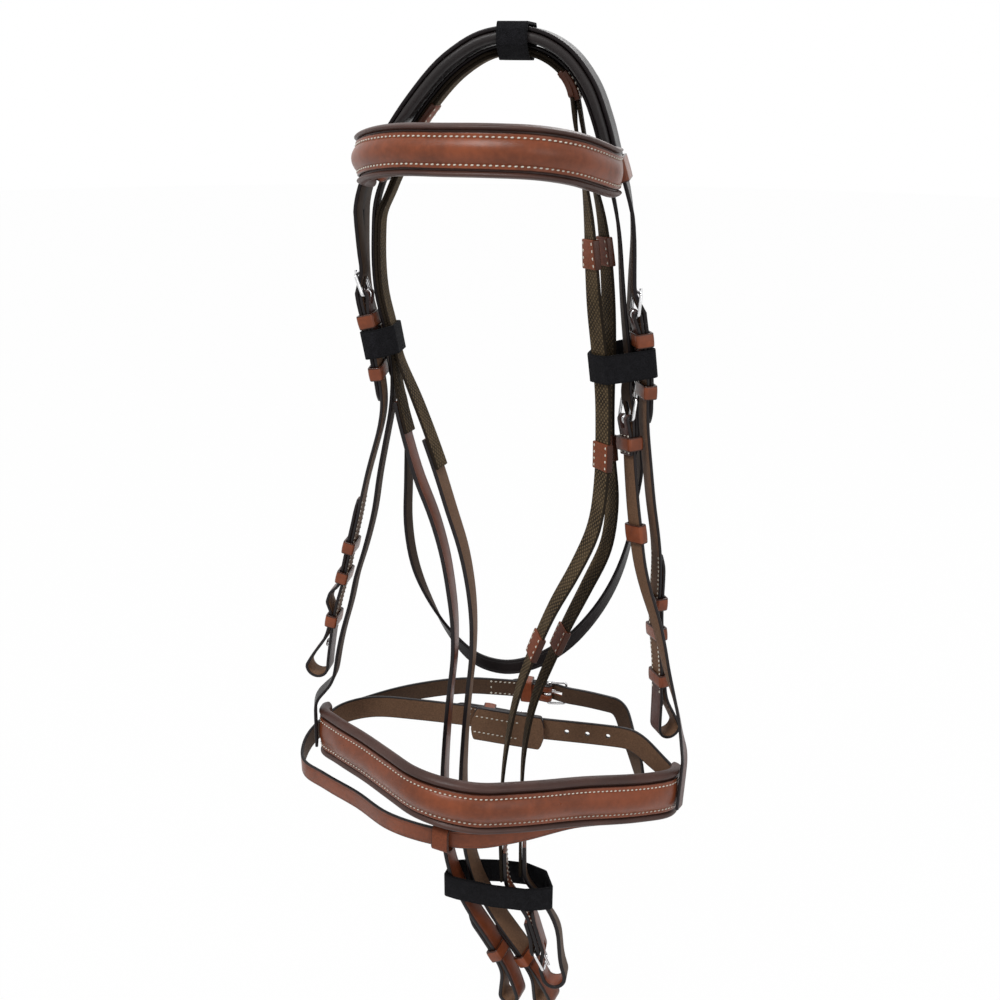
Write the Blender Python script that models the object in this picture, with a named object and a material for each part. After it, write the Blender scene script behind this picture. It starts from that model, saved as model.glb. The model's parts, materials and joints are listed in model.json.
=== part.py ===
"""English snaffle bridle with a padded crown, padded noseband, flash strap and web reins.

The bridle hangs from its crown, folded up with four hook-and-loop ties. Metres, +Z up, the
horse's face towards -Y and its near (left) side towards +X. The origin is the middle of the
flat underside of the top tie, which bears on its support.

Every strap is a flat strip that is laid along a line of places. Straps that share a line each
have their own height in the stack, so the layers stay clear of each other.
"""
import math

import bmesh
import bpy
from mathutils import Matrix, Vector

# Size of the hung bridle: the tables of places below are shares of these three
HEAD_WIDTH = 0.300
HEAD_REACH = 0.100
HANG_DROP = 0.500

# Play between pieces that lie against each other
LAYER_GAP = 0.0003
LAP_GAP = 0.0006
RUNNING_PLAY = 0.0002
CUT_OVERRUN = 0.002

# Leather and web straps
CHEEK_WIDTH = 0.016
CHEEK_THICK = 0.0022
CROWN_THICK = 0.0026
CROWN_SLIT = 0.002
CROWN_NARROW_SHARE = 0.5
CROWN_PAD_WIDTH = 0.038
CROWN_PAD_THICK = 0.0068
CROWN_PAD_EDGE = 0.0030
CROWN_PAD_LENGTH = 0.160
CROWN_PAD_TAPER = 0.012
HEADSTRAP_WIDTH = 0.013
HEADSTRAP_THICK = 0.0024
THROAT_WIDTH = 0.012
THROAT_THICK = 0.0024
THROAT_OFFSET = 0.018
THROAT_LAP = 0.026
BRANCH_OFFSET = 0.0115
BRANCH_SPREAD = 0.028
NOSE_STRAP_WIDTH = 0.019
NOSE_STRAP_THICK = 0.0026
FLASH_WIDTH = 0.015
FLASH_THICK = 0.0026
REIN_WIDTH = 0.016
REIN_THICK = 0.0030
REIN_LAP = 0.024
WEB_WIDTH = 0.017
WEB_THICK = 0.0020

# Padded bands: a lining with a roll along each edge, and a raised strip sewn down its middle
BROW_LINING_WIDTH = 0.031
BROW_LINING_THICK = 0.0046
BROW_STRIP_WIDTH = 0.0235
BROW_STRIP_THICK = 0.0050
BROW_END_FLAT = 0.003
BROW_LOOP_WALL = 0.0018
BROW_LOOP_LENGTH = 0.016
BROW_LOOP_DIP = 0.0042
NOSE_LINING_WIDTH = 0.041
NOSE_LINING_THICK = 0.0060
NOSE_STRIP_WIDTH = 0.030
NOSE_STRIP_THICK = 0.0056
NOSE_END_FLAT = 0.019
BAND_END_THICK = 0.0026
BAND_TAPER = 0.030
BAND_LEAD = 0.003
STRIP_EDGE_THICK = 0.0015
ROLL_RISE = 0.0022

# Buckles: a frame of bent wire whose inner bar carries the tongue and the strap's folded end
WIRE_RADIUS = 0.00115
TONGUE_RADIUS = 0.0010
BUCKLE_REACH = 0.0150
BUCKLE_RISE = 0.0030
BUCKLE_SIDE_PLAY = 0.0012
BUCKLE_CORNER = 0.0023
TONGUE_OVERHANG = 0.0020
TONGUE_SLOT = 0.0034
FOLD_LENGTH = 0.026
FOLD_CLOSE = 0.012

# Keepers, hook studs and ties
KEEPER_LENGTH = 0.010
KEEPER_WALL = 0.0016
KEEPER_PLAY = 0.0004
KEEPER_CORNER = 0.0020
KEEPER_FROM_BAR = 0.0175
KEEPER_SLIDE = 0.006
GATHER_LENGTH = 0.014
STUD_RADIUS = 0.0034
STUD_HEIGHT = 0.0030
STUD_NECK_RADIUS = 0.0016
STUD_SETBACK = 0.019
TIE_WIDTH = 0.020
TIE_WALL = 0.0018
TIE_PLAY = 0.0007
TIE_SAG = 0.0010
STOP_LENGTH = 0.024
STOP_WALL = 0.0014
STOP_EDGE = 0.0010

# Lengths along the straps
BILLET_TIP = 0.012
CHEEK_BILLET = 0.078
HEADSTRAP_BILLET = 0.028
THROAT_BILLET = 0.040
NOSE_BILLET = 0.050
FLASH_BILLET = 0.036
CENTRE_BILLET = 0.034
HOLE_PITCH = 0.017
HOLE_RADIUS = 0.0019
BIT_LOOP_RADIUS = 0.0085
BIT_LOOP_REACH = 0.034
BIT_BILLET_LENGTH = 0.112
OFF_CHEEK_BOW = 0.005
REIN_LOOP_RADIUS = 0.0075
REIN_LOOP_REACH = 0.030
REIN_BILLET_LENGTH = 0.050
CENTRE_TURN_RADIUS = 0.0085
CHIN_GUARD_LENGTH = 0.060
CHIN_GUARD_WIDTH = 0.030
CHIN_GUARD_THICK = 0.0045
FLASH_TAB_WIDTH = 0.014
FLASH_TAB_THICK = 0.0018
FLASH_TAB_RISE = 0.014
FLASH_TAB_SAG = 0.0024
HANGER_ABOVE = 0.023
HANGER_OVERLAP = 0.012

# Fineness of bends: a new section where the strap has turned or run this far
TURN_STEP = math.radians(16.0)
RUN_STEP = 0.045
FINE_STEPS = 14
BAND_SIDES = 16
SCAN_STEP = 0.002
BUNDLE_REACH = 0.056
MERGE = 0.00002

COLOURS = {
    "black_leather": ((0.020, 0.016, 0.014), 0.48, 0.0),
    "dark_leather": ((0.050, 0.026, 0.018), 0.50, 0.0),
    "rust_leather": ((0.230, 0.075, 0.035), 0.45, 0.0),
    "web": ((0.060, 0.045, 0.024), 0.90, 0.0),
    "tie": ((0.016, 0.016, 0.018), 0.95, 0.0),
    "steel": ((0.62, 0.62, 0.63), 0.25, 1.0),
}

# Sizes that follow from the straps
CROWN_WIDTH = 2 * CHEEK_WIDTH + CROWN_SLIT
SPLIT_OFFSET = (CHEEK_WIDTH + CROWN_SLIT) / 2
CHEEK_EYE = WIRE_RADIUS + RUNNING_PLAY + CHEEK_THICK

# Stack of layers over the poll and down both sides, from the inside out
SEAT_LIFT = TIE_WALL + TIE_PLAY + TIE_SAG
LIFT_WEB_B = WEB_THICK + LAYER_GAP
LIFT_HEADSTRAP = LIFT_WEB_B + WEB_THICK + LAYER_GAP
LIFT_PAD = LIFT_HEADSTRAP + HEADSTRAP_THICK + LAYER_GAP
LIFT_BUCKLE = LIFT_PAD + LAP_GAP
LIFT_CROWN = LIFT_PAD + max(CROWN_PAD_THICK, 2 * CHEEK_EYE) + LAYER_GAP

# Places along the arch over the poll, off side to near side: across, down, and the twist
ARCH_SHARES = (
    (-0.268, 0.431, 0), (-0.288, 0.361, 0), (-0.305, 0.317, 0), (-0.310, 0.275, 0),
    (-0.308, 0.233, 0), (-0.302, 0.193, 0), (-0.280, 0.157, 0), (-0.247, 0.123, 0),
    (-0.187, 0.072, 0), (-0.110, 0.024, 0), (-0.050, 0.004, 0), (0.000, 0.000, 0),
    (0.040, 0.003, 0), (0.078, 0.014, 0), (0.122, 0.043, 0), (0.157, 0.091, 0),
    (0.177, 0.133, 0), (0.197, 0.171, 2), (0.212, 0.211, 6), (0.226, 0.291, 14),
    (0.232, 0.325, 17), (0.243, 0.375, 21), (0.255, 0.431, 25),
)

# Where things sit on the arch, as shares of the hang drop
OFF_BUCKLE_SHARE = 0.312
NEAR_BUCKLE_SHARE = 0.334
HANGER_BUCKLE_SHARE = 0.478
THROAT_BUCKLE_SHARE = 0.466
SPLIT_SHARE = 0.205
BROW_SHARE = 0.150
OFF_TIE_SHARE = 0.378
NEAR_TIE_SHARE = 0.401
STACK_LEAVE_SHARE = 0.400
CHEEK_LEAVE_SHARE = 0.408
WEB_LEAVE_SHARE = 0.034
BRANCH_END_SHARE = 0.410
WEB_A_END_SHARE = 0.565
WEB_B_END_SHARE = 0.515
BIT_KEEPER_SHARES = (1.24, 2.38, 3.14)
BOW_SHARES = ((0.13, 0.0), (0.20, 1.0), (0.27, 0.9), (0.34, 0.0))
STOP_SHARES = (0.249, 0.529, 0.823)
GATHER_SHARE = 0.645
FLASH_LOOP_SHARES = (-0.120, -1.06, 1.001, 258)

# Free runs: across, forward (minus is towards the face), down, and where the outer face looks,
# in degrees round from the near side
OFF_CHEEK_SHARES = (
    (-0.316, -0.03, 0.479, 180), (-0.325, -0.02, 0.508, 180), (-0.341, -0.01, 0.540, 180),
    (-0.365, 0.00, 0.588, 180), (-0.380, 0.02, 0.621, 180), (-0.394, 0.03, 0.657, 180),
    (-0.415, 0.03, 0.707, 180), (-0.437, 0.03, 0.761, 180), (-0.455, 0.03, 0.795, 180),
    (-0.480, 0.03, 0.869, 180), (-0.489, 0.03, 0.905, 180), (-0.493, 0.03, 0.930, 180),
)
NEAR_CHEEK_SHARES = (
    (0.310, -0.02, 0.485, 25), (0.322, -0.01, 0.545, 25), (0.335, 0.01, 0.607, 26),
    (0.347, 0.04, 0.653, 27), (0.354, 0.08, 0.695, 28), (0.355, 0.11, 0.735, 29),
    (0.354, 0.12, 0.775, 30), (0.357, 0.12, 0.811, 30), (0.363, 0.12, 0.843, 30),
    (0.370, 0.12, 0.885, 30), (0.373, 0.12, 0.929, 30), (0.373, 0.12, 0.965, 30),
    (0.373, 0.12, 0.997, 30),
)
OFF_HANGER_SHARES = (
    (-0.298, 0.00, 0.481, 180), (-0.312, -0.01, 0.525, 180), (-0.332, -0.02, 0.585, 180),
    (-0.347, -0.03, 0.641, 180), (-0.358, -0.04, 0.669, 180), (-0.380, -0.05, 0.715, 180),
    (-0.397, -0.05, 0.745, 180), (-0.412, -0.05, 0.785, 180), (-0.443, -0.05, 0.849, 180),
    (-0.455, -0.05, 0.881, 180), (-0.470, -0.05, 0.925, 182),
)
HANGER_SEAT_SHARES = (
    (0.255, -0.06, 0.440, 36), (0.259, -0.08, 0.485, 38), (0.265, -0.10, 0.535, 40),
    (0.276, -0.12, 0.590, 44),
)
NEAR_HANGER_SHARES = (
    (0.304, -0.09, 0.645, 48), (0.316, -0.10, 0.690, 44), (0.336, -0.10, 0.735, 40),
    (0.358, -0.11, 0.772, 36), (0.378, -0.13, 0.812, 30), (0.396, -0.14, 0.857, 22),
    (0.412, -0.14, 0.890, 14), (0.427, -0.12, 0.925, 8), (0.441, -0.08, 0.975, 2),
)
THROAT_SHARES = (
    (0.296, 0.21, 0.610, 8), (0.284, 0.16, 0.675, 350), (0.250, 0.12, 0.745, 332),
    (0.190, 0.10, 0.810, 315), (0.125, 0.09, 0.855, 300), (0.050, 0.08, 0.885, 285),
    (-0.018, 0.07, 0.896, 265), (-0.090, 0.07, 0.888, 245), (-0.165, 0.07, 0.845, 215),
    (-0.215, 0.07, 0.795, 190), (-0.255, 0.07, 0.735, 172), (-0.272, 0.08, 0.670, 168),
    (-0.270, 0.10, 0.590, 168), (-0.272, 0.13, 0.520, 172), (-0.288, 0.15, 0.465, 178),
)
BROW_SHARES = (
    (-0.318, -0.42, 0.130, 200), (-0.279, -0.66, 0.119, 220), (-0.195, -0.88, 0.110, 240),
    (-0.095, -1.00, 0.108, 256), (0.010, -1.06, 0.107, 272), (0.100, -1.02, 0.109, 290),
    (0.166, -0.85, 0.117, 309), (0.211, -0.60, 0.130, 328), (0.233, -0.40, 0.139, 344),
)
NOSE_SHARES = (
    (-0.513, 0.04, 1.026, 182), (-0.511, -0.05, 1.024, 194), (-0.455, -0.24, 1.018, 222),
    (-0.355, -0.50, 1.011, 226), (-0.250, -0.79, 1.005, 228), (-0.190, -0.95, 1.002, 238),
    (-0.110, -1.06, 1.001, 260), (-0.030, -1.06, 1.006, 282), (0.060, -0.94, 1.014, 298),
    (0.200, -0.62, 1.037, 303), (0.370, -0.26, 1.064, 308), (0.415, -0.14, 1.071, 322),
    (0.432, -0.03, 1.077, 345), (0.436, 0.06, 1.080, 356),
)
NOSE_BASE_SHARES = (
    (-0.330, 0.22, 1.010, 96), (-0.225, 0.27, 1.017, 93), (-0.130, 0.31, 1.024, 91),
    (-0.020, 0.33, 1.032, 90), (0.080, 0.33, 1.036, 88), (0.190, 0.30, 1.036, 82),
    (0.285, 0.25, 1.034, 78),
)
NOSE_OFF_SHARES = ((-0.430, 0.262, 1.014, 112), (-0.490, 0.185, 1.023, 146))
NOSE_NEAR_SHARES = ((0.430, 0.160, 1.079, 15), (0.385, 0.250, 1.064, 55))
NOSE_BAR_SHARE = 0.495
FLASH_BASE_SHARES = (
    (-0.130, 0.64, 1.003, 93), (-0.040, 0.65, 1.003, 91), (0.050, 0.65, 1.003, 89),
    (0.150, 0.63, 1.006, 84), (0.240, 0.58, 1.014, 76),
)
FLASH_BAR_SHARE = 0.52
FLASH_SHARES = (
    (-0.270, 0.61, 1.008, 100), (-0.420, 0.51, 1.030, 110), (-0.530, 0.36, 1.052, 130),
    (-0.578, 0.16, 1.074, 165), (-0.572, -0.06, 1.090, 200), (-0.490, -0.25, 1.092, 224),
    (-0.375, -0.49, 1.088, 227), (-0.270, -0.76, 1.082, 230), (-0.200, -0.88, 1.076, 238),
    (-0.120, -0.955, 1.072, 258), (-0.030, -0.935, 1.073, 286), (0.060, -0.79, 1.076, 300),
    (0.190, -0.48, 1.084, 304), (0.300, -0.22, 1.100, 312), (0.348, -0.02, 1.106, 335),
    (0.352, 0.16, 1.106, 10), (0.338, 0.30, 1.098, 36), (0.302, 0.47, 1.052, 58),
)
REIN_A_SHARES = (
    (-0.262, -0.01, 0.428, 178), (-0.236, -0.02, 0.465, 172), (-0.200, -0.04, 0.520, 170),
    (-0.170, -0.06, 0.570, 168), (-0.140, -0.09, 0.625, 168), (-0.108, -0.13, 0.680, 170),
    (-0.088, -0.16, 0.735, 174), (-0.078, -0.18, 0.795, 178), (-0.078, -0.21, 0.850, 180),
    (-0.086, -0.25, 0.910, 180), (-0.094, -0.29, 0.985, 178), (-0.096, -0.34, 1.070, 174),
    (-0.084, -0.38, 1.150, 166), (-0.054, -0.42, 1.215, 160), (0.002, -0.45, 1.275, 158),
    (0.068, -0.47, 1.330, 158), (0.128, -0.49, 1.382, 160), (0.165, -0.50, 1.425, 162),
)
REIN_B_SHARES = (
    (-0.281, -0.01, 0.440, 178), (-0.268, -0.03, 0.478, 175), (-0.249, -0.05, 0.520, 172),
    (-0.220, -0.09, 0.575, 170), (-0.180, -0.13, 0.632, 170), (-0.150, -0.17, 0.690, 172),
    (-0.133, -0.20, 0.745, 174), (-0.123, -0.22, 0.800, 178), (-0.122, -0.25, 0.850, 180),
    (-0.130, -0.29, 0.905, 180), (-0.138, -0.33, 0.975, 178), (-0.143, -0.37, 1.060, 176),
    (-0.138, -0.41, 1.140, 172), (-0.116, -0.45, 1.200, 168), (-0.072, -0.48, 1.255, 166),
    (-0.012, -0.50, 1.310, 166), (0.042, -0.52, 1.365, 166), (0.075, -0.54, 1.420, 166),
)
WEB_A_SHARES = (
    (0.133, -0.06, 0.086, 2), (0.152, -0.10, 0.137, 8), (0.170, -0.13, 0.200, 24),
    (0.180, -0.14, 0.262, 34), (0.190, -0.14, 0.325, 40), (0.203, -0.12, 0.385, 42),
    (0.213, -0.12, 0.435, 42), (0.218, -0.14, 0.500, 40), (0.218, -0.16, 0.570, 38),
    (0.205, -0.18, 0.635, 34), (0.163, -0.20, 0.700, 28), (0.112, -0.22, 0.762, 24),
    (0.074, -0.24, 0.820, 22), (0.034, -0.27, 0.892, 18), (0.008, -0.31, 0.975, 14),
    (-0.004, -0.36, 1.060, 10), (-0.004, -0.42, 1.130, 8), (0.004, -0.47, 1.205, 6),
)
WEB_B_SHARES = (
    (0.146, 0.01, 0.086, 2), (0.164, 0.02, 0.137, 8), (0.192, 0.03, 0.200, 22),
    (0.207, 0.03, 0.262, 32), (0.216, 0.03, 0.325, 36), (0.219, 0.06, 0.385, 38),
    (0.218, 0.09, 0.440, 40), (0.224, 0.10, 0.530, 38), (0.240, 0.06, 0.610, 36),
    (0.232, 0.00, 0.672, 32), (0.188, -0.04, 0.738, 28), (0.142, -0.08, 0.800, 24),
    (0.106, -0.11, 0.855, 22), (0.064, -0.15, 0.930, 18), (0.044, -0.20, 1.010, 14),
    (0.042, -0.26, 1.085, 10), (0.044, -0.33, 1.145, 8), (0.048, -0.39, 1.205, 6),
)
CENTRE_BASE_SHARES = (
    (0.060, -0.52, 1.270, 0), (0.082, -0.54, 1.312, 0), (0.104, -0.56, 1.354, 0),
)
CENTRE_B_SHARES = ((0.108, -0.44, 1.240, 188), (0.150, -0.50, 1.272, 182))
CENTRE_BAR_SHARE = 0.60
BOTTOM_TIE_SHARES = (-0.030, -0.44, 1.222, 172)


class Place:
    """A spot on a strap's line: the way the strap runs, the way across it and its outer face."""

    def __init__(self, spot, along, out):
        self.spot = spot
        self.along = along.normalized()
        self.out = (out - self.along * out.dot(self.along)).normalized()
        self.across = self.out.cross(self.along)

    def point(self, across, height):
        return self.spot + self.across * across + self.out * height

    def moved(self, across, height):
        return Place(self.point(across, height), self.along, self.out)

    def matrix(self):
        """Local X runs along the strap, Y across it and Z out of its face."""
        turn = Matrix((self.along, self.across, self.out)).transposed()
        return Matrix.Translation(self.spot) @ turn.to_4x4()


class Lay:
    """The line that a strap is laid along: its places, and how far along each one is."""

    def __init__(self, places):
        self.places = places
        self.marks = [0.0]
        for before, after in zip(places, places[1:]):
            self.marks.append(self.marks[-1] + (after.spot - before.spot).length)

    @property
    def length(self):
        return self.marks[-1]

    def at(self, run):
        """The place at a distance along, between its neighbours or straight on past an end."""
        last = len(self.marks) - 2
        index = 0
        while index < last and self.marks[index + 1] < run:
            index += 1
        one, two = self.places[index], self.places[index + 1]
        share = (run - self.marks[index]) / (self.marks[index + 1] - self.marks[index])
        near = min(max(share, 0.0), 1.0)
        return Place(one.spot.lerp(two.spot, share), one.along.lerp(two.along, near),
                     one.out.lerp(two.out, near))

    def between(self, start, end):
        """The stretch from one distance to another, with the marks that lie inside it."""
        inside = [mark for mark in self.marks if start + LAYER_GAP < mark < end - LAYER_GAP]
        return Lay([self.at(run) for run in [start] + inside + [end]])

    def lifted(self, height, across=0.0):
        return Lay([place.moved(across, height) for place in self.places])

    def turned_back(self):
        return Lay([Place(place.spot, -place.along, place.out) for place in reversed(self.places)])

    def turned_over(self):
        return Lay([Place(place.spot, place.along, -place.out) for place in self.places])

    def nearest(self, spot, after=0.0):
        """The distance along, past a given one, at which the line comes closest to a spot."""
        steps = max(int((self.length - after) / SCAN_STEP), 1)
        runs = [after + (self.length - after) * k / steps for k in range(steps + 1)]
        best = min(runs, key=lambda run: (self.at(run).spot - spot).length)
        place = self.at(best)
        return best + (spot - place.spot).dot(place.along)

    def run_at_level(self, level):
        """The last distance along at which the line is as low as a level, going on downwards."""
        for i in range(len(self.places) - 2, -1, -1):
            one, two = self.places[i].spot.z, self.places[i + 1].spot.z
            if two <= level <= one and one > two:
                step = self.marks[i + 1] - self.marks[i]
                return self.marks[i] + (one - level) / (one - two) * step
        end = self.places[-1]
        return self.length + (end.spot.z - level) / max(-end.along.z, MERGE)


def level_of(drop_share):
    return SEAT_LIFT - drop_share * HANG_DROP


def place_of(row):
    """A row of shares as a spot and the way the strap's outer face looks there."""
    across_share, forward_share, down_share, look = row
    spot = Vector((across_share * HEAD_WIDTH, forward_share * HEAD_REACH, level_of(down_share)))
    turn = math.radians(look)
    return spot, Vector((math.cos(turn), math.sin(turn), 0.0))


def smooth(spots, faces):
    """Fine places on a smooth curve through the spots, its face turning evenly between them."""
    steps = [(after - before).length for before, after in zip(spots, spots[1:])]
    slopes = []
    for i in range(len(spots)):
        if i == 0:
            slopes.append((spots[1] - spots[0]) / steps[0])
        elif i == len(spots) - 1:
            slopes.append((spots[-1] - spots[-2]) / steps[-1])
        else:
            before = (spots[i] - spots[i - 1]) / steps[i - 1]
            after = (spots[i + 1] - spots[i]) / steps[i]
            slopes.append((before * steps[i] + after * steps[i - 1]) / (steps[i - 1] + steps[i]))
    fine = []
    for i, step in enumerate(steps):
        last = i == len(steps) - 1
        for k in range(FINE_STEPS + last):
            t = k / FINE_STEPS
            rise = t * t * (3 - 2 * t)
            spot = spots[i] * (1 - rise) + spots[i + 1] * rise
            spot += slopes[i] * step * t * (1 - t) ** 2 + slopes[i + 1] * step * t * t * (t - 1)
            fine.append((spot, faces[i].lerp(faces[i + 1], t)))
    places = []
    for k, (spot, face) in enumerate(fine):
        along = fine[min(k + 1, len(fine) - 1)][0] - fine[max(k - 1, 0)][0]
        places.append(Place(spot, along, face))
    return places


def thinned(places):
    """Only the places at which the strap has turned, twisted or run far enough for a section."""
    kept = [places[0]]
    run = turn = 0.0
    for before, after in zip(places, places[1:]):
        run += (after.spot - before.spot).length
        turn += before.along.angle(after.along, 0.0) + before.out.angle(after.out, 0.0) / 2
        if run > RUN_STEP or turn > TURN_STEP:
            kept.append(after)
            run = turn = 0.0
    if len(kept) > 1 and (kept[-1].spot - places[-1].spot).length < LAYER_GAP * 4:
        kept.pop()
    if kept[-1] is not places[-1]:
        kept.append(places[-1])
    return kept


def free_lay(shares):
    spots, faces = zip(*[place_of(row) for row in shares])
    return Lay(thinned(smooth(spots, faces)))


def carried_on(lay, shares, ending=None):
    """A lay that runs on smoothly through a table of places, and into another lay's places."""
    rows = [place_of(row) for row in shares]
    lead = lay.at(lay.length - BAND_LEAD)
    spots = [lead.spot, lay.places[-1].spot] + [spot for spot, _ in rows]
    faces = [lead.out, lay.places[-1].out] + [face for _, face in rows]
    if ending:
        after = ending.at(BAND_LEAD)
        spots += [ending.places[0].spot, after.spot]
        faces += [ending.places[0].out, after.out]
    fine = smooth(spots, faces)[FINE_STEPS:]
    if not ending:
        return Lay(lay.places[:-1] + thinned(fine))
    return Lay(lay.places[:-1] + thinned(fine[:-FINE_STEPS])[:-1] + ending.places)


def arch_lay():
    """The line over the poll that the crown, headstrap and webs share, from off to near side."""
    spots = [place_of((across, 0.0, down, 0))[0] for across, down, _ in ARCH_SHARES]
    faces = []
    for i, row in enumerate(ARCH_SHARES):
        along = spots[min(i + 1, len(spots) - 1)] - spots[max(i - 1, 0)]
        out = Vector((-along.z, 0.0, along.x)).normalized()
        faces.append(Matrix.Rotation(math.radians(row[2]), 3, "Z") @ out)
    return Lay(thinned(smooth(spots, faces)))


def off_run(arch, drop_share):
    """The distance along the arch at which its off side has dropped by a share."""
    return arch.length - arch.turned_back().run_at_level(level_of(drop_share))


def near_run(arch, drop_share):
    return arch.run_at_level(level_of(drop_share))


def threaded(base, steps, face=1):
    """A lay that follows a base line at set heights: steps of distance along, height and, where
    it isn't 0, the shift across. It may turn back on itself, as a folded or looped end does.
    Face is -1 where the strap runs against its base line and its outer face is still outside."""
    rows = [(step[0], step[1], step[2] if len(step) > 2 else 0.0) for step in steps]
    full = [rows[0]]
    for before, after in zip(rows, rows[1:]):
        low, high = sorted((before[0], after[0]))
        clear = LAYER_GAP * 4
        inside = [mark for mark in base.marks if low + clear < mark < high - clear]
        for mark in sorted(inside, reverse=after[0] < before[0]):
            share = (mark - before[0]) / (after[0] - before[0])
            height = before[1] + share * (after[1] - before[1])
            across = before[2] + share * (after[2] - before[2])
            full.append((mark, height, across))
        full.append(after)
    spots = []
    sides = []
    for run, height, across in full:
        place = base.at(run)
        spots.append(place.point(across, height))
        sides.append(place.across)
    places = []
    for i, spot in enumerate(spots):
        before = (spot - spots[i - 1]).normalized() if i else (spots[1] - spot).normalized()
        after = (spots[i + 1] - spot).normalized() if i < len(spots) - 1 else before
        along = before + after
        places.append(Place(spot, along, along.cross(sides[i]) * face))
    return Lay(places)


def collection(name):
    made = bpy.data.collections.new(name)
    bpy.context.scene.collection.children.link(made)
    return made


def clear_scene():
    for obj in list(bpy.data.objects):
        bpy.data.objects.remove(obj, do_unlink=True)


def material(name):
    colour, roughness, metallic = COLOURS[name]
    made = bpy.data.materials.get(name) or bpy.data.materials.new(name)
    made.use_nodes = True
    shader = made.node_tree.nodes["Principled BSDF"]
    shader.inputs["Base Color"].default_value = (*colour, 1.0)
    shader.inputs["Roughness"].default_value = roughness
    shader.inputs["Metallic"].default_value = metallic
    made.diffuse_color = (*colour, 1.0)
    return made


def add_part(name, mesh, finish, origin=None):
    """An object of the bridle, with its origin on its joint where it has one."""
    if origin is not None:
        mesh.transform(Matrix.Translation(-origin))
    obj = bpy.data.objects.new(name, mesh)
    obj.location = origin or Vector((0.0, 0.0, 0.0))
    mesh.materials.append(material(finish))
    bpy.data.collections["english_bridle"].objects.link(obj)
    return obj


def face_out(mesh):
    """Turn every face of a closed mesh outwards."""
    bmesh.ops.recalc_face_normals(mesh, faces=mesh.faces)
    if mesh.calc_volume(signed=True) < 0:
        bmesh.ops.reverse_faces(mesh, faces=mesh.faces)


def step_value(table, run):
    """A size that changes along a strap, read from a table of distances and sizes."""
    if not isinstance(table, (list, tuple)):
        return table
    for (start, low), (end, high) in zip(table, table[1:]):
        if run <= end:
            return low + (high - low) * min(max((run - start) / (end - start), 0.0), 1.0)
    return table[-1][1]


def tip_share(run, length, start_tip, end_tip):
    """How much of its width a strap keeps where its end is cut to a blunt point."""
    share = 1.0
    for tip, left in ((start_tip, run), (end_tip, length - run)):
        if tip > 0 and left < tip:
            share = min(share, 1.0 - 0.62 * (1.0 - left / tip) ** 2)
    return share


def marks_of(lay, start_tip=0.0, end_tip=0.0, wanted=()):
    """The distances at which a strap gets a section: its lay's, its tips' and those it wants."""
    needed = list(wanted)
    for tip, start, sense in ((start_tip, 0.0, 1), (end_tip, lay.length, -1)):
        if tip > 0:
            needed += [start + sense * tip * share for share in (0.35, 0.7, 1.0)]
    needed = [run for run in needed if LAYER_GAP < run < lay.length - LAYER_GAP]
    marks = [0.0, lay.length] + needed
    for mark in lay.marks:
        if all(abs(mark - run) > LAYER_GAP * 4 for run in marks):
            marks.append(mark)
    return sorted(marks)


def strip_mesh(rows, columns, is_open=None):
    """A flat grid cut to shape, then thickened and bent. A row has a place, a half width and a
    distance along for each line that the strip follows. A column has the number of its line, a
    share of the half width, and its low and high face at a distance along."""
    mesh = bmesh.new()
    last_row, last_column = len(rows) - 1, len(columns) - 1
    bmesh.ops.create_grid(mesh, x_segments=last_row, y_segments=last_column, size=1.0)
    for vert in mesh.verts:
        vert.co.x = round((vert.co.x + 1.0) / 2.0 * last_row)
        vert.co.y = round((vert.co.y + 1.0) / 2.0 * last_column)
    if is_open:
        centres = [(face, face.calc_center_median()) for face in mesh.faces]
        gone = [face for face, centre in centres if is_open(int(centre.x), int(centre.y))]
        bmesh.ops.delete(mesh, geom=gone, context="FACES")
    raised = bmesh.ops.extrude_face_region(mesh, geom=mesh.faces[:])
    for item in raised["geom"]:
        if isinstance(item, bmesh.types.BMVert):
            item.co.z = 1.0
    for vert in mesh.verts:
        line, share, low, high = columns[int(round(vert.co.y))]
        place, half, run = rows[int(round(vert.co.x))][line]
        height = high(run) if vert.co.z > 0.5 else low(run)
        vert.co = place.point(share * half, height)
    face_out(mesh)
    made = bpy.data.meshes.new("strip")
    mesh.to_mesh(made)
    mesh.free()
    return made


def strap(name, lay, width, thick, finish, start_tip=0.0, end_tip=0.0, slots=()):
    """A strap of even section, its lay along its middle. A slot is a stretch, between two
    distances along, that is cut out down the middle."""
    wanted = [edge for slot in slots for edge in slot]
    for table in (width, thick):
        if isinstance(table, list):
            wanted += [run for run, _ in table]
    marks = marks_of(lay, start_tip, end_tip, sorted(set(wanted)))
    rows = []
    for run in marks:
        half = step_value(width, run) / 2 * tip_share(run, lay.length, start_tip, end_tip)
        rows.append([(lay.at(run), half, run)])

    def low(run):
        return -step_value(thick, run) / 2

    def high(run):
        return step_value(thick, run) / 2

    shares = [-1.0, 1.0]
    if slots:
        half_slot = TONGUE_SLOT / step_value(width, slots[0][0])
        shares = [-1.0, -half_slot, half_slot, 1.0]

    def is_open(row, cell):
        middle = (marks[row] + marks[row + 1]) / 2
        return cell == 1 and any(start < middle < end for start, end in slots)

    columns = [(0, share, low, high) for share in shares]
    return add_part(name, strip_mesh(rows, columns, is_open if slots else None), finish)


def mesh_of(curve):
    """The closed mesh of a curve object, which it replaces."""
    depsgraph = bpy.context.evaluated_depsgraph_get()
    made = bpy.data.meshes.new_from_object(curve.evaluated_get(depsgraph))
    bpy.data.objects.remove(curve, do_unlink=True)
    mesh = bmesh.new()
    mesh.from_mesh(made)
    bmesh.ops.remove_doubles(mesh, verts=mesh.verts, dist=MERGE)
    face_out(mesh)
    mesh.to_mesh(made)
    mesh.free()
    made.materials.clear()
    return made


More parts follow.
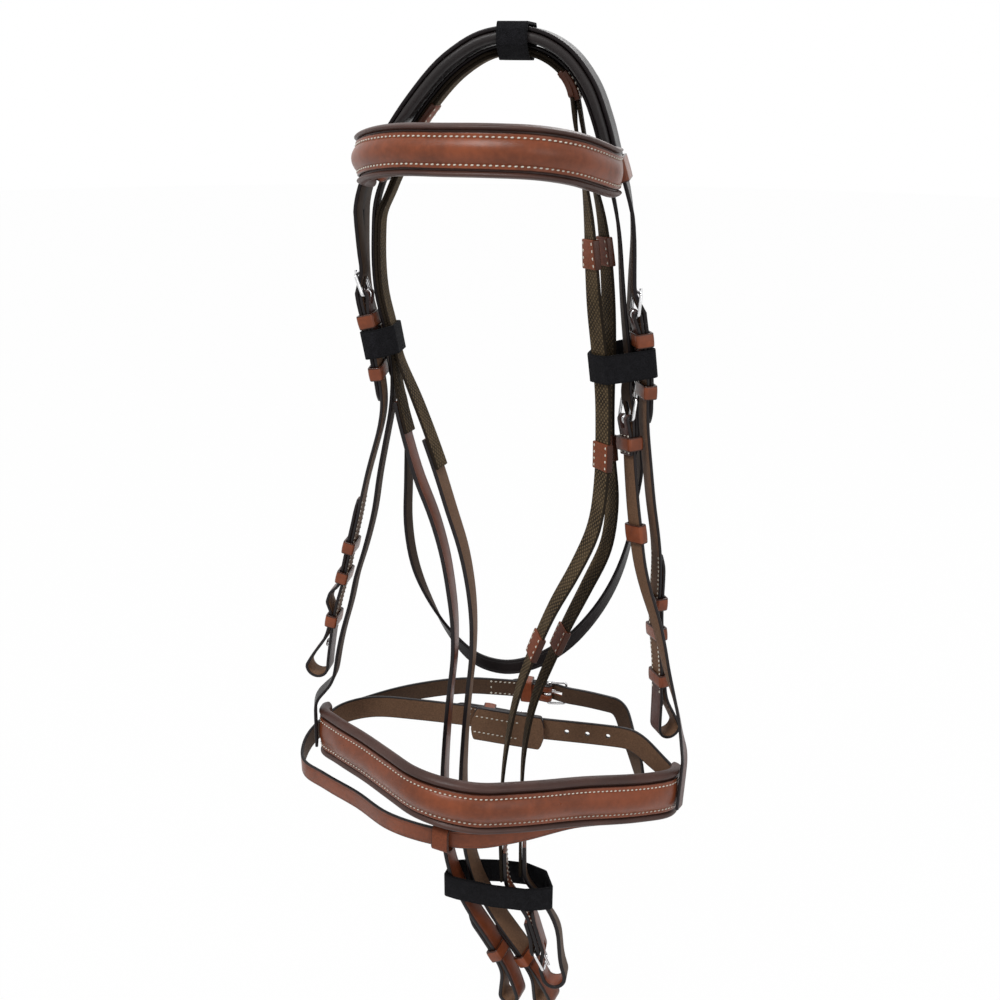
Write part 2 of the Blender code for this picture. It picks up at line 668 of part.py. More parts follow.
def curve_object(outlines, dimensions, closed):
    data = bpy.data.curves.new("outline", "CURVE")
    data.dimensions = dimensions
    for outline in outlines:
        spline = data.splines.new("POLY")
        spline.points.add(len(outline) - 1)
        for point, co in zip(spline.points, outline):
            point.co = (*co, 1.0)
        spline.use_cyclic_u = closed
    obj = bpy.data.objects.new("outline", data)
    bpy.context.scene.collection.objects.link(obj)
    return obj


def wire_mesh(points, radius, closed=False):
    obj = curve_object([[tuple(point) for point in points]], "3D", closed)
    obj.data.bevel_depth = radius
    obj.data.bevel_resolution = 1
    obj.data.use_fill_caps = not closed
    return mesh_of(obj)


def plate_mesh(outlines, thick):
    """A flat outline, with a hole where it has a second one, as thick as it is asked."""
    flat = [[(x, y, 0.0) for x, y in outline] for outline in outlines]
    obj = curve_object(flat, "2D", True)
    obj.data.fill_mode = "BOTH"
    obj.data.extrude = thick / 2
    return mesh_of(obj)


def arc(centre, radius, start, end, steps):
    """Points on an arc, its angles in degrees."""
    angles = [math.radians(start + (end - start) * k / steps) for k in range(steps + 1)]
    return [(centre[0] + radius * math.cos(a), centre[1] + radius * math.sin(a)) for a in angles]


def rounded_box(low, high, corner, steps=2):
    """The outline of a box from its low to its high corner, its own corners rounded."""
    (x0, y0), (x1, y1) = low, high
    points = arc((x1 - corner, y1 - corner), corner, 0, 90, steps)
    points += arc((x0 + corner, y1 - corner), corner, 90, 180, steps)
    points += arc((x0 + corner, y0 + corner), corner, 180, 270, steps)
    points += arc((x1 - corner, y0 + corner), corner, 270, 360, steps)
    return points


def bundle_points(place, straps, reach):
    """Where the edges of the straps that pass a place lie, across and out from it."""
    points = []
    for lay, width, thick in straps:
        steps = int(lay.length / SCAN_STEP)
        for k in range(steps + 1):
            near = lay.at(lay.length * k / steps)
            for side, face in ((-1, -1), (-1, 1), (1, -1), (1, 1)):
                corner = near.point(side * width / 2, face * thick / 2) - place.spot
                if abs(corner.dot(place.along)) < reach and corner.length < BUNDLE_REACH:
                    points.append((corner.dot(place.across), corner.dot(place.out)))
    return points


def tight_outline(points, clear, floor=None):
    """The outline of a band that is pulled round some points, and stays clear of them. It has a
    side for each of a few directions, from the innermost one (the floor) round."""
    sides = []
    for k in range(BAND_SIDES):
        turn = math.tau * k / BAND_SIDES - math.pi / 2
        way = math.cos(turn), math.sin(turn)
        sides.append((*way, max(x * way[0] + y * way[1] for x, y in points) + clear))
    if floor is not None:
        sides[0] = (0.0, -1.0, clear - TIE_PLAY - floor)
    outline = []
    for k, (x1, y1, far1) in enumerate(sides):
        x2, y2, far2 = sides[k - 1]
        size = x1 * y2 - x2 * y1
        outline.append(((far1 * y2 - far2 * y1) / size, (x1 * far2 - x2 * far1) / size))
    return outline


def band_round(name, place, outlines, length, finish, moves=False):
    mesh = plate_mesh(outlines, length)
    turn = Matrix((place.across, place.out, place.along)).transposed().to_4x4()
    mesh.transform(Matrix.Translation(place.spot) @ turn)
    return add_part(name, mesh, finish, place.spot.copy() if moves else None)


def keeper(name, place, straps, slide=0.0, length=KEEPER_LENGTH, wall=KEEPER_WALL):
    """A flat leather loop round the straps that pass a place, clear of them where it slides."""
    points = bundle_points(place, straps, length / 2 + slide + SCAN_STEP)
    low = [min(values) - KEEPER_PLAY for values in zip(*points)]
    high = [max(values) + KEEPER_PLAY for values in zip(*points)]
    inner = rounded_box(low, high, KEEPER_CORNER - wall)
    outer = rounded_box([value - wall for value in low], [value + wall for value in high],
                        KEEPER_CORNER)
    return band_round(name, place, [outer, inner], length, "rust_leather", slide > 0)


def tie(name, place, straps, floor=None):
    points = bundle_points(place, straps, TIE_WIDTH / 2 + SCAN_STEP)
    outlines = [tight_outline(points, clear, floor) for clear in (TIE_PLAY + TIE_WALL, TIE_PLAY)]
    return band_round(name, place, outlines, TIE_WIDTH, "tie")


class BuckleSeat:
    """A buckle on a base line: its bar lies at a distance along, and its far side points along
    the line (sense 1) or back along it (sense -1)."""

    def __init__(self, base, bar_run, sense, thick, width, billet_thick, across=0.0):
        self.base = base
        self.bar_run = bar_run
        self.sense = sense
        self.thick = thick
        self.width = width
        self.across = across
        self.bend = WIRE_RADIUS + RUNNING_PLAY + thick / 2
        self.centre = self.bend + thick / 2
        self.main = self.centre + self.bend
        self.over = self.main + (thick + billet_thick) / 2 + LAYER_GAP
        self.under = self.centre + BUCKLE_RISE - WIRE_RADIUS - LAYER_GAP - billet_thick / 2

    def run(self, ahead):
        """The distance along the base that lies so far ahead of the bar, towards the far side."""
        return self.bar_run + self.sense * ahead

    def laid(self, steps):
        rows = [(self.run(ahead), height, self.across) for ahead, height in steps]
        return threaded(self.base, rows, -self.sense)

    def chape(self, behind):
        """The lay of the strap that carries the buckle, from its folded end round the bar and
        on to a distance behind it."""
        folded = self.main - self.thick - LAYER_GAP
        steps = [(-FOLD_LENGTH, folded), (-FOLD_CLOSE, folded)]
        steps += arc((0.0, self.centre), self.bend, -90, 90, 6)
        steps.append((-behind, self.main))
        return self.laid(steps)

    def chape_slot(self):
        """The stretch of the chape, measured along it, that is cut out for the tongue."""
        around = math.pi * self.bend
        return FOLD_LENGTH - FOLD_CLOSE / 2, FOLD_LENGTH + around + FOLD_CLOSE / 2

    def billet_steps(self, behind):
        return [(BUCKLE_REACH * 1.35, self.under), (BUCKLE_REACH, self.under),
                (BUCKLE_REACH * 0.5, (self.under + self.over) / 2),
                (BUCKLE_REACH * 0.1, self.over), (-behind, self.over)]

    def billet(self, behind, start=None):
        """The lay of the strap that is buckled in: from a start (distance, height and shift
        across), under the far side and over the bar to a distance behind the bar."""
        rows = [(self.run(ahead), height, self.across)
                for ahead, height in self.billet_steps(behind)]
        return threaded(self.base, [start] + rows if start else rows, -self.sense)

    def bar_place(self):
        return self.base.at(self.bar_run).moved(self.across, self.centre)

    def local(self, ahead, across, rise):
        place = self.bar_place()
        return place.spot + place.along * (self.sense * ahead) + place.across * across \
            + place.out * rise

    def slot_on(self, lay):
        """The stretch of the buckled strap that the tongue comes up through."""
        bar = lay.nearest(self.local(0.0, 0.0, self.over - self.centre))
        ahead, behind = BUCKLE_REACH * 0.86, BUCKLE_REACH * 0.18
        way = self.local(BUCKLE_REACH, 0.0, 0.0) - self.local(0.0, 0.0, 0.0)
        if lay.at(bar).along.dot(way) > 0:
            return bar - behind, bar + ahead
        return bar - ahead, bar + behind

    def frame(self, name):
        """The buckle's frame: a ring of wire with rounded corners, its far side raised."""
        half = self.width / 2 + BUCKLE_SIDE_PLAY + WIRE_RADIUS
        outline = rounded_box((0.0, -half), (BUCKLE_REACH, half), BUCKLE_CORNER)
        points = [self.local(ahead, across, BUCKLE_RISE * ahead / BUCKLE_REACH)
                  for ahead, across in outline]
        return add_part(name, wire_mesh(points, WIRE_RADIUS, closed=True), "steel")

    def tongue(self, name):
        """The buckle's tongue: a wire eye round the bar and a shank to the far side."""
        eye = WIRE_RADIUS + RUNNING_PLAY + TONGUE_RADIUS
        far_rise = BUCKLE_RISE + WIRE_RADIUS + TONGUE_RADIUS + LAYER_GAP
        points = arc((0.0, 0.0), eye, 345, 90, 7)
        points += [(BUCKLE_REACH * 0.35, eye + (far_rise - eye) * 0.35),
                   (BUCKLE_REACH, far_rise), (BUCKLE_REACH + TONGUE_OVERHANG, far_rise)]
        mesh = wire_mesh([self.local(ahead, 0.0, rise) for ahead, rise in points], TONGUE_RADIUS)
        return add_part(name, mesh, "steel", self.bar_place().spot.copy())

    def fixed_keeper(self, name, straps):
        """The keeper that is sewn in behind the bar, round the chape and the buckled strap."""
        place = self.base.at(self.run(-KEEPER_FROM_BAR)).moved(self.across, self.main)
        return keeper(name, place, straps)


def hook_stud(name, place):
    """A small mushroom stud, turned: foot, neck and domed head."""
    profile = [(0.0, 0.0), (STUD_RADIUS * 0.8, 0.0), (STUD_RADIUS * 0.8, STUD_HEIGHT * 0.2),
               (STUD_NECK_RADIUS, STUD_HEIGHT * 0.3), (STUD_NECK_RADIUS, STUD_HEIGHT * 0.5),
               (STUD_RADIUS, STUD_HEIGHT * 0.6), (STUD_RADIUS * 0.8, STUD_HEIGHT * 0.9),
               (0.0, STUD_HEIGHT)]
    mesh = bmesh.new()
    verts = [mesh.verts.new((radius, 0.0, height)) for radius, height in profile]
    edges = [mesh.edges.new(pair) for pair in zip(verts, verts[1:])]
    bmesh.ops.spin(mesh, geom=verts + edges, cent=(0, 0, 0), axis=(0, 0, 1),
                   angle=math.tau, steps=10, use_merge=True)
    bmesh.ops.remove_doubles(mesh, verts=mesh.verts, dist=MERGE)
    face_out(mesh)
    made = bpy.data.meshes.new(name)
    mesh.to_mesh(made)
    mesh.free()
    made.transform(place.matrix())
    return add_part(name, made, "steel")


def punched(obj, places, depth):
    """Cut a row of round holes through a strap."""
    cutter_mesh = bmesh.new()
    for place in places:
        bmesh.ops.create_cone(cutter_mesh, cap_ends=True, segments=8, radius1=HOLE_RADIUS,
                              radius2=HOLE_RADIUS, depth=depth + CUT_OVERRUN, matrix=place.matrix())
    made = bpy.data.meshes.new(obj.name + "_punch")
    cutter_mesh.to_mesh(made)
    cutter_mesh.free()
    cutter = bpy.data.objects.new(obj.name + "_punch", made)
    cutter.hide_render = True
    cutter.display_type = "WIRE"
    bpy.data.collections["cutters"].objects.link(cutter)
    cut = obj.modifiers.new("holes", "BOOLEAN")
    cut.object = cutter
    cut.operation = "DIFFERENCE"
    cut.solver = "EXACT"


def looped(line, turn_run, radius, reach, thick, billet_length, bow=0.0):
    """The lay of a strap that runs down its line, turns outwards round a loop for a ring and
    comes back up beside itself. The loop's bend is centred at the turn."""
    apart = thick + LAP_GAP
    wide = 2 * radius - apart
    steps = [(0.0, 0.0), (turn_run, 0.0)]
    steps += [(turn_run + side, radius - rise) for rise, side in
              arc((0.0, 0.0), radius, 0, 180, 9)][1:]
    steps += [(turn_run - reach * 0.35, apart + wide * 0.60),
              (turn_run - reach * 0.70, apart + wide * 0.14), (turn_run - reach, apart)]
    for share, rise in BOW_SHARES if bow else ():
        steps.append((turn_run - reach - billet_length * share, apart + bow * rise))
    steps.append((turn_run - reach - billet_length, apart))
    return threaded(line, steps)


def padded_band(name, lay, lining_width, lining_thick, strip_width, strip_thick, flat):
    """A padded band: the lining with a roll along each edge, and the raised strip outside it."""
    full = flat + BAND_TAPER
    taper = [(0.0, BAND_END_THICK), (flat, BAND_END_THICK), (full, strip_thick),
             (lay.length - full, strip_thick), (lay.length - flat, BAND_END_THICK),
             (lay.length, BAND_END_THICK)]

    def raised(share):
        def height(run):
            rise = step_value(taper, run) - STRIP_EDGE_THICK
            return LAP_GAP + STRIP_EDGE_THICK + share * rise
        return height

    def at(height):
        return lambda run: height

    def rows(width):
        marks = marks_of(lay, wanted=[run for run, _ in taper[1:-1]])
        return [[(lay.at(run), width / 2, run)] for run in marks]

    roll = (strip_width + 2 * LAP_GAP) / lining_width
    middle = (1.0 + roll) / 2
    lining = [(-1.0, -0.75, -0.05 * lining_thick), (-middle, -0.95, ROLL_RISE),
              (-roll, -1.0, 0.0), (0.0, -1.0, 0.0), (roll, -1.0, 0.0), (middle, -0.95, ROLL_RISE),
              (1.0, -0.75, -0.05 * lining_thick)]
    columns = [(0, share, at(low * lining_thick), at(high)) for share, low, high in lining]
    add_part(name + "_lining", strip_mesh(rows(lining_width), columns), "black_leather")
    columns = [(0, share, at(LAP_GAP), raised(rise)) for share, rise in
               ((-0.97, 0.0), (-0.66, 0.78), (-0.25, 1.0), (0.25, 1.0), (0.66, 0.78), (0.97, 0.0))]
    add_part(name + "_strip", strip_mesh(rows(strip_width), columns), "rust_leather")


def crownpiece(rails, slots):
    """The crown strap: whole over the poll and split into a front and a rear strap at each
    side. A rail is the lays of its off strap, its middle and its near strap. A slot is a
    stretch of one of them, for a buckle's tongue."""
    rows = []
    open_cells = set()
    for part in range(3):
        front = rails[0][part]
        start_tip = BILLET_TIP if part == 0 else 0.0
        end_tip = BILLET_TIP if part == 2 else 0.0
        wanted = []
        for (line, where), edges in slots.items():
            if where == part:
                wanted += [run * front.length / rails[line][part].length for run in edges]
        rear = rails[1][part]
        clear = [run / front.length for run in wanted] + [mark / front.length for mark in front.marks]
        for mark in rear.marks:
            if all(abs(mark / rear.length - share) * rear.length > LAP_GAP * 4 for share in clear):
                wanted.append(mark * front.length / rear.length)
        marks = marks_of(front, start_tip, end_tip, wanted)
        for k, mark in enumerate(marks):
            if k > 0:
                cell = len(rows) - 1
                if part != 1:
                    open_cells.add((cell, 3))
                for (line, where), edges in slots.items():
                    middle = (marks[k - 1] + mark) / 2 / front.length * rails[line][part].length
                    if where == part and edges[0] < middle < edges[1]:
                        open_cells.add((cell, 1 + 4 * line))
            elif part > 0:
                continue
            row = []
            for line in (0, 1):
                own = rails[line][part]
                run = mark / front.length * own.length
                away = (0.0, 0.0, run / own.length)[part] if part else 1 - run / own.length
                away = min(away / CROWN_NARROW_SHARE, 1.0)
                narrow = (CHEEK_WIDTH - THROAT_WIDTH) / 2 * away * line
                half = CHEEK_WIDTH / 2 - narrow
                row.append((own.at(run), half * tip_share(run, own.length, start_tip, end_tip), run))
            rows.append(row)

    def low(run):
        return -CROWN_THICK / 2

    def high(run):
        return CROWN_THICK / 2

    half_slot = TONGUE_SLOT / CHEEK_WIDTH
    columns = [(line, share, low, high) for line in (0, 1)
               for share in (-1.0, -half_slot, half_slot, 1.0)]
    mesh = strip_mesh(rows, columns, lambda row, cell: (row, cell) in open_cells)
    return add_part("crownpiece", mesh, "black_leather")


def crown_pad(arch, poll):
    half = CROWN_PAD_LENGTH / 2
    lay = arch.between(poll - half, poll + half).lifted(LIFT_CROWN - LAYER_GAP)
    thick = [(0.0, CROWN_PAD_EDGE), (CROWN_PAD_TAPER, CROWN_PAD_THICK),
             (lay.length - CROWN_PAD_TAPER, CROWN_PAD_THICK), (lay.length, CROWN_PAD_EDGE)]
    marks = marks_of(lay, wanted=[CROWN_PAD_TAPER, lay.length - CROWN_PAD_TAPER])
    rows = [[(lay.at(run), CROWN_PAD_WIDTH / 2, run)] for run in marks]

    def depth(share):
        return lambda run: -step_value(thick, run) * share

    columns = [(0, -1.0, depth(0.75), depth(0.20)), (0, -0.86, depth(1.0), depth(0.0)),
               (0, 0.86, depth(1.0), depth(0.0)), (0, 1.0, depth(0.75), depth(0.20))]
    add_part("crown_pad", strip_mesh(rows, columns), "black_leather")
    middle = lay.lifted(-CROWN_PAD_THICK / 2)
    return middle, CROWN_PAD_WIDTH, CROWN_PAD_THICK


def lifted_base(arch, runs):
    """The arch at the height of the buckles, and where on it some distances of the arch lie."""
    base = arch.lifted(LIFT_BUCKLE)
    return base, [base.nearest(arch.at(run).point(0.0, LIFT_BUCKLE)) for run in runs]


def cheek_side(side, arch, runs, sense, shares, bow):
    """One cheek: cheekpiece, buckle, keepers and hook stud. The runs are of the bar, the place
    where the cheekpiece leaves the arch and the crown's split. Returns the cheekpiece, the
    crown's front billet that is buckled to it, and where the tongue comes through."""
    base, (bar_run, leave_run, split_run) = lifted_base(arch, runs)
    seat = BuckleSeat(base, bar_run, sense, CHEEK_THICK, CHEEK_WIDTH, CROWN_THICK, -SPLIT_OFFSET)
    line = carried_on(seat.chape(abs(leave_run - bar_run)), shares)
    turn = line.length - BIT_LOOP_RADIUS
    cheek = looped(line, turn, BIT_LOOP_RADIUS, BIT_LOOP_REACH, CHEEK_THICK, BIT_BILLET_LENGTH, bow)
    strap(side + "_cheekpiece", cheek, CHEEK_WIDTH, CHEEK_THICK, "dark_leather",
          end_tip=BILLET_TIP, slots=[seat.chape_slot()])
    seat.frame(side + "_cheek_buckle")
    seat.tongue(side + "_cheek_tongue")

    lift = (CHEEK_THICK + CROWN_THICK) / 2 + LAYER_GAP
    bar = FOLD_LENGTH + math.pi * seat.bend
    below = line.between(bar, turn).lifted(lift)
    start = (split_run, LIFT_CROWN + CROWN_THICK / 2 - LIFT_BUCKLE, -SPLIT_OFFSET)
    upper = seat.billet(BUCKLE_REACH * 0.3, start)
    joint = below.nearest(upper.places[-1].spot) + BUCKLE_REACH * 0.2
    lower = below.between(joint, joint + CHEEK_BILLET - BUCKLE_REACH / 2)
    billet = Lay(upper.places + lower.places)

    straps = [(cheek, CHEEK_WIDTH, CHEEK_THICK), (billet, CHEEK_WIDTH, CROWN_THICK)]
    seat.fixed_keeper(side + "_cheek_keeper_upper", straps)
    tip = line.nearest(billet.places[-1].spot, bar)
    place = line.at(tip - 2 * BILLET_TIP).moved(0.0, lift / 2)
    keeper(side + "_cheek_keeper_lower", place, straps, KEEPER_SLIDE / 2)
    for number, share in enumerate(BIT_KEEPER_SHARES, 1):
        place = line.at(turn - BIT_LOOP_REACH * share)
        slide = KEEPER_SLIDE if number == 3 else 0.0
        keeper("%s_bit_keeper_%d" % (side, number), place, straps[:1], slide)
    place = line.at(turn - STUD_SETBACK).moved(0.0, CHEEK_THICK / 2 + LAYER_GAP)
    hook_stud(side + "_hook_stud", place)
    return straps, billet, seat.slot_on(billet)


def stops_table(lay, runs, size, growth):
    """A web's width or thickness along it: wider and thicker at each hand stop."""
    table = [(0.0, size)]
    for run in sorted(runs):
        for sense, grown in ((-1, 0), (-1, 1), (1, 1), (1, 0)):
            reach = STOP_LENGTH / 2 + (0.0 if grown else STOP_EDGE)
            table.append((run + sense * reach, size + 2 * growth * grown))
    return table + [(lay.length, size)]


def rein(name, arch, lift, web_shares, end_shares, web_end_share):
    """One rein: the web with its hand stops and the leather end that takes the bit. Returns the
    web's line down the near side, and its straps."""
    leave_off = off_run(arch, STACK_LEAVE_SHARE)
    leave_near = near_run(arch, WEB_LEAVE_SHARE)
    brow = off_run(arch, BROW_SHARE)
    steps = [(leave_off, lift), (brow - 2 * BROW_LOOP_LENGTH, lift),
             (brow - BROW_LOOP_LENGTH, lift - BROW_LOOP_DIP),
             (brow + BROW_LOOP_LENGTH, lift - BROW_LOOP_DIP),
             (brow + 2 * BROW_LOOP_LENGTH, lift), (leave_near, lift)]
    over = threaded(arch, steps)
    web_line = carried_on(over, web_shares)
    off_line = carried_on(over.turned_back(), end_shares)
    web_end = off_line.run_at_level(level_of(web_end_share))
    near_part = web_line.turned_back().places[:-len(over.places)]
    web = Lay(near_part + off_line.between(0.0, web_end).places)
    stops = [web_line.length - web_line.run_at_level(level_of(share)) for share in STOP_SHARES]
    strap(name + "_web", web, stops_table(web, stops, WEB_WIDTH, STOP_EDGE),
          stops_table(web, stops, WEB_THICK, STOP_WALL), "web")

    end_line = off_line.between(web_end - REIN_LAP, off_line.length)
    end_line = end_line.lifted((WEB_THICK + REIN_THICK) / 2 + LAP_GAP)
    turn = end_line.length - REIN_LOOP_RADIUS
    leather = looped(end_line, turn, REIN_LOOP_RADIUS, REIN_LOOP_REACH, REIN_THICK,
                     REIN_BILLET_LENGTH)
    strap(name + "_leather", leather, REIN_WIDTH, REIN_THICK, "rust_leather", end_tip=BILLET_TIP)
    end_strap = (leather, REIN_WIDTH, REIN_THICK)
    keeper(name + "_keeper", end_line.at(turn - REIN_LOOP_REACH - KEEPER_LENGTH), [end_strap])
    return web_line, [(web, WEB_WIDTH, WEB_THICK), end_strap]


def rein_centre(web_a, web_b):
    """The buckled pieces in the middle of the reins: the strap sewn to web A carries the
    buckle, and the billet sewn to web B turns round below and is buckled in."""
    base = free_lay(CENTRE_BASE_SHARES)
    seat = BuckleSeat(base, base.length * CENTRE_BAR_SHARE, 1, REIN_THICK, REIN_WIDTH, REIN_THICK)
    apart = (WEB_THICK + REIN_THICK) / 2 + LAP_GAP
    lap = web_a.turned_back().between(0.0, REIN_LAP).lifted(apart)
    centre = carried_on(seat.chape(seat.bar_run), (), lap)
    strap("rein_centre_strap", centre, REIN_WIDTH, REIN_THICK, "rust_leather",
          slots=[seat.chape_slot()])

    turn = seat.run(BUCKLE_REACH * 1.6)
    radius = CENTRE_TURN_RADIUS
    rows = [(turn - radius, seat.under + 2 * radius)]
    rows += [(turn + side, seat.under + radius + rise) for rise, side in
             arc((0.0, 0.0), radius, 0, 180, 8)]
    rows += [(seat.run(ahead), height) for ahead, height in seat.billet_steps(CENTRE_BILLET)[1:]]
    lap = web_b.between(web_b.length - REIN_LAP, web_b.length).lifted(apart).turned_over()
    billet = carried_on(lap, CENTRE_B_SHARES, threaded(base, rows, -1))
    strap("rein_centre_billet", billet, REIN_WIDTH, REIN_THICK, "rust_leather",
          end_tip=BILLET_TIP, slots=[seat.slot_on(billet)])
    seat.frame("rein_buckle")
    seat.tongue("rein_tongue")
    return [(centre, REIN_WIDTH, REIN_THICK), (billet, REIN_WIDTH, REIN_THICK)]


def band_crossing(lay, run, height):
    """The lay of a strap that comes down over a band's outer face."""
    place = lay.at(run)
    spots = [place.point(HANGER_ABOVE, height), place.point(-HANGER_OVERLAP, height)]
    return Lay([Place(spot, -place.across, place.out) for spot in spots])


def noseband_hangers(arch, nose):
    """The headstrap, which is the off hanger too, and the near hanger with its buckle."""
    height = 2 * LAP_GAP + BAND_END_THICK + HEADSTRAP_THICK / 2
    edge = NOSE_END_FLAT / 2
    over = arch.between(off_run(arch, STACK_LEAVE_SHARE), near_run(arch, STACK_LEAVE_SHARE))
    over = over.lifted(LIFT_HEADSTRAP + HEADSTRAP_THICK / 2)
    off_end = band_crossing(nose, edge, height)
    off_hanger = carried_on(over.turned_back(), OFF_HANGER_SHARES, off_end)
    base = free_lay(HANGER_SEAT_SHARES)
    bar = base.run_at_level(level_of(HANGER_BUCKLE_SHARE))
    seat = BuckleSeat(base, bar, -1, HEADSTRAP_THICK, HEADSTRAP_WIDTH, HEADSTRAP_THICK)
    headstrap = carried_on(off_hanger.turned_back(), (), seat.billet(HEADSTRAP_BILLET))
    strap("headstrap", headstrap, HEADSTRAP_WIDTH, HEADSTRAP_THICK, "black_leather",
          end_tip=BILLET_TIP, slots=[seat.slot_on(headstrap)])

    near_end = band_crossing(nose, nose.length - edge, height)
    hanger = carried_on(seat.chape(base.length - bar), NEAR_HANGER_SHARES, near_end)
    strap("near_hanger", hanger, HEADSTRAP_WIDTH, HEADSTRAP_THICK, "dark_leather",
          slots=[seat.chape_slot()])
    seat.frame("hanger_buckle")
    seat.tongue("hanger_tongue")
    straps = [(headstrap, HEADSTRAP_WIDTH, HEADSTRAP_THICK),
              (hanger, HEADSTRAP_WIDTH, HEADSTRAP_THICK)]
    seat.fixed_keeper("hanger_keeper", straps)
    gather = hanger.at(hanger.run_at_level(level_of(GATHER_SHARE)))
    keeper("gathering_keeper", gather, straps[1:], KEEPER_SLIDE, GATHER_LENGTH)
    return straps


def band_end(band, run, sense, height):
    """A short lay that butts against a band's end face, coming from beyond it."""
    place = band.at(run).moved(0.0, height)
    away = place.along * sense
    spots = [place.spot + away * (LAYER_GAP + BAND_LEAD), place.spot + away * LAYER_GAP]
    return Lay([Place(spot, -away, place.out) for spot in spots])


def noseband_straps(nose):
    """The straps behind the jaw: the one with the buckle, the billet and the chin guard."""
    base = free_lay(NOSE_BASE_SHARES)
    seat = BuckleSeat(base, base.length * NOSE_BAR_SHARE, 1, NOSE_STRAP_THICK, NOSE_STRAP_WIDTH,
                      NOSE_STRAP_THICK)
    height = (BAND_END_THICK - NOSE_LINING_THICK) / 2
    off_end = band_end(nose, 0.0, -1, height)
    off_strap = carried_on(seat.chape(seat.bar_run), NOSE_OFF_SHARES, off_end)
    strap("nose_strap", off_strap, NOSE_STRAP_WIDTH, NOSE_STRAP_THICK, "dark_leather",
          slots=[seat.chape_slot()])
    near_end = band_end(nose, nose.length, 1, height).turned_back()
    start = (base.length, seat.over)
    billet = carried_on(near_end, NOSE_NEAR_SHARES, seat.billet(NOSE_BILLET, start))
    obj = strap("nose_billet", billet, NOSE_STRAP_WIDTH, NOSE_STRAP_THICK, "dark_leather",
                end_tip=BILLET_TIP, slots=[seat.slot_on(billet)])
    bar = billet.nearest(seat.local(0.0, 0.0, seat.over - seat.centre))
    punched(obj, [billet.at(bar - BUCKLE_REACH - HOLE_PITCH * k) for k in (2, 3, 4)],
            NOSE_STRAP_THICK)
    seat.frame("nose_buckle")
    seat.tongue("nose_tongue")
    seat.fixed_keeper("nose_keeper", [(off_strap, NOSE_STRAP_WIDTH, NOSE_STRAP_THICK),
                                      (billet, NOSE_STRAP_WIDTH, NOSE_STRAP_THICK)])
    half = CHIN_GUARD_LENGTH / 2
    guard = base.between(seat.bar_run - half, seat.bar_run + half)
    strap("chin_guard", guard.lifted(-LAYER_GAP - CHIN_GUARD_THICK / 2), CHIN_GUARD_WIDTH,
          CHIN_GUARD_THICK, "black_leather", start_tip=BILLET_TIP, end_tip=BILLET_TIP)


def flash(nose):
    """The flash strap under the noseband, its buckle behind the jaw and its loop in front."""
    base = free_lay(FLASH_BASE_SHARES)
    seat = BuckleSeat(base, base.length * FLASH_BAR_SHARE, 1, FLASH_THICK, FLASH_WIDTH,
                      FLASH_THICK)
    billet = seat.billet(FLASH_BILLET, (base.length, seat.over))
    lay = carried_on(seat.chape(seat.bar_run), FLASH_SHARES, billet)
    ahead = lay.length - billet.length
    start, end = seat.slot_on(billet)
    strap("flash_strap", lay, FLASH_WIDTH, FLASH_THICK, "rust_leather", end_tip=BILLET_TIP,
          slots=[seat.chape_slot(), (ahead + start, ahead + end)])
    seat.frame("flash_buckle")
    seat.tongue("flash_tongue")
    seat.fixed_keeper("flash_keeper", [(lay, FLASH_WIDTH, FLASH_THICK)])

    place = nose.at(nose.nearest(place_of(FLASH_LOOP_SHARES)[0]))
    down = Place(place.spot, -place.across, place.out)
    edge = NOSE_LINING_WIDTH / 2
    line = Lay([down, Place(place.point(-2 * edge, 0.0), down.along, down.out)])
    passing = lay.at(lay.nearest(place.point(-edge - FLASH_WIDTH, -NOSE_LINING_THICK))).spot
    centre = (passing - place.spot).dot(down.along)
    height = (passing - place.spot).dot(down.out)
    half = FLASH_WIDTH / 2 + FLASH_TAB_SAG / 2 + FLASH_TAB_THICK / 2
    deep = FLASH_THICK / 2 + KEEPER_PLAY + FLASH_TAB_SAG + FLASH_TAB_THICK / 2
    behind = -NOSE_LINING_THICK - 2 * LAP_GAP - FLASH_TAB_THICK / 2
    steps = [(edge - FLASH_TAB_RISE, behind), (edge, behind), (centre - half, height - deep),
             (centre + half - deep / 2, height - deep), (centre + half, height - deep / 2),
             (centre + half, height + deep / 2), (centre + half - deep / 2, height + deep),
             (centre - half + deep / 2, height + deep), (centre - half, height + deep / 2),
             (centre - half, height)]
    strap("flash_loop", threaded(line, steps), FLASH_TAB_WIDTH, FLASH_TAB_THICK, "rust_leather")


def browband(arch, crown_straps):
    """The browband and the two loops at its ends, which the crown and headstrap pass through."""
    reach = CROWN_WIDTH / 2 + KEEPER_PLAY + BROW_LOOP_WALL + LAYER_GAP
    ends = []
    for side, run in (("off", off_run(arch, BROW_SHARE)), ("near", near_run(arch, BROW_SHARE))):
        place = arch.at(run)
        keeper("browband_loop_" + side, place.moved(0.0, LIFT_CROWN / 2), crown_straps,
               length=BROW_LOOP_LENGTH, wall=BROW_LOOP_WALL)
        spots = [place.point(-reach, LIFT_CROWN), place.point(-reach - BAND_LEAD, LIFT_CROWN)]
        upright = Vector((place.out.x, place.out.y, 0.0))
        ends.append(Lay([Place(spot, -place.across, upright) for spot in spots]))
    lay = carried_on(ends[0], BROW_SHARES, ends[1].turned_back())
    padded_band("browband", lay, BROW_LINING_WIDTH, BROW_LINING_THICK, BROW_STRIP_WIDTH,
                BROW_STRIP_THICK, BROW_END_FLAT)


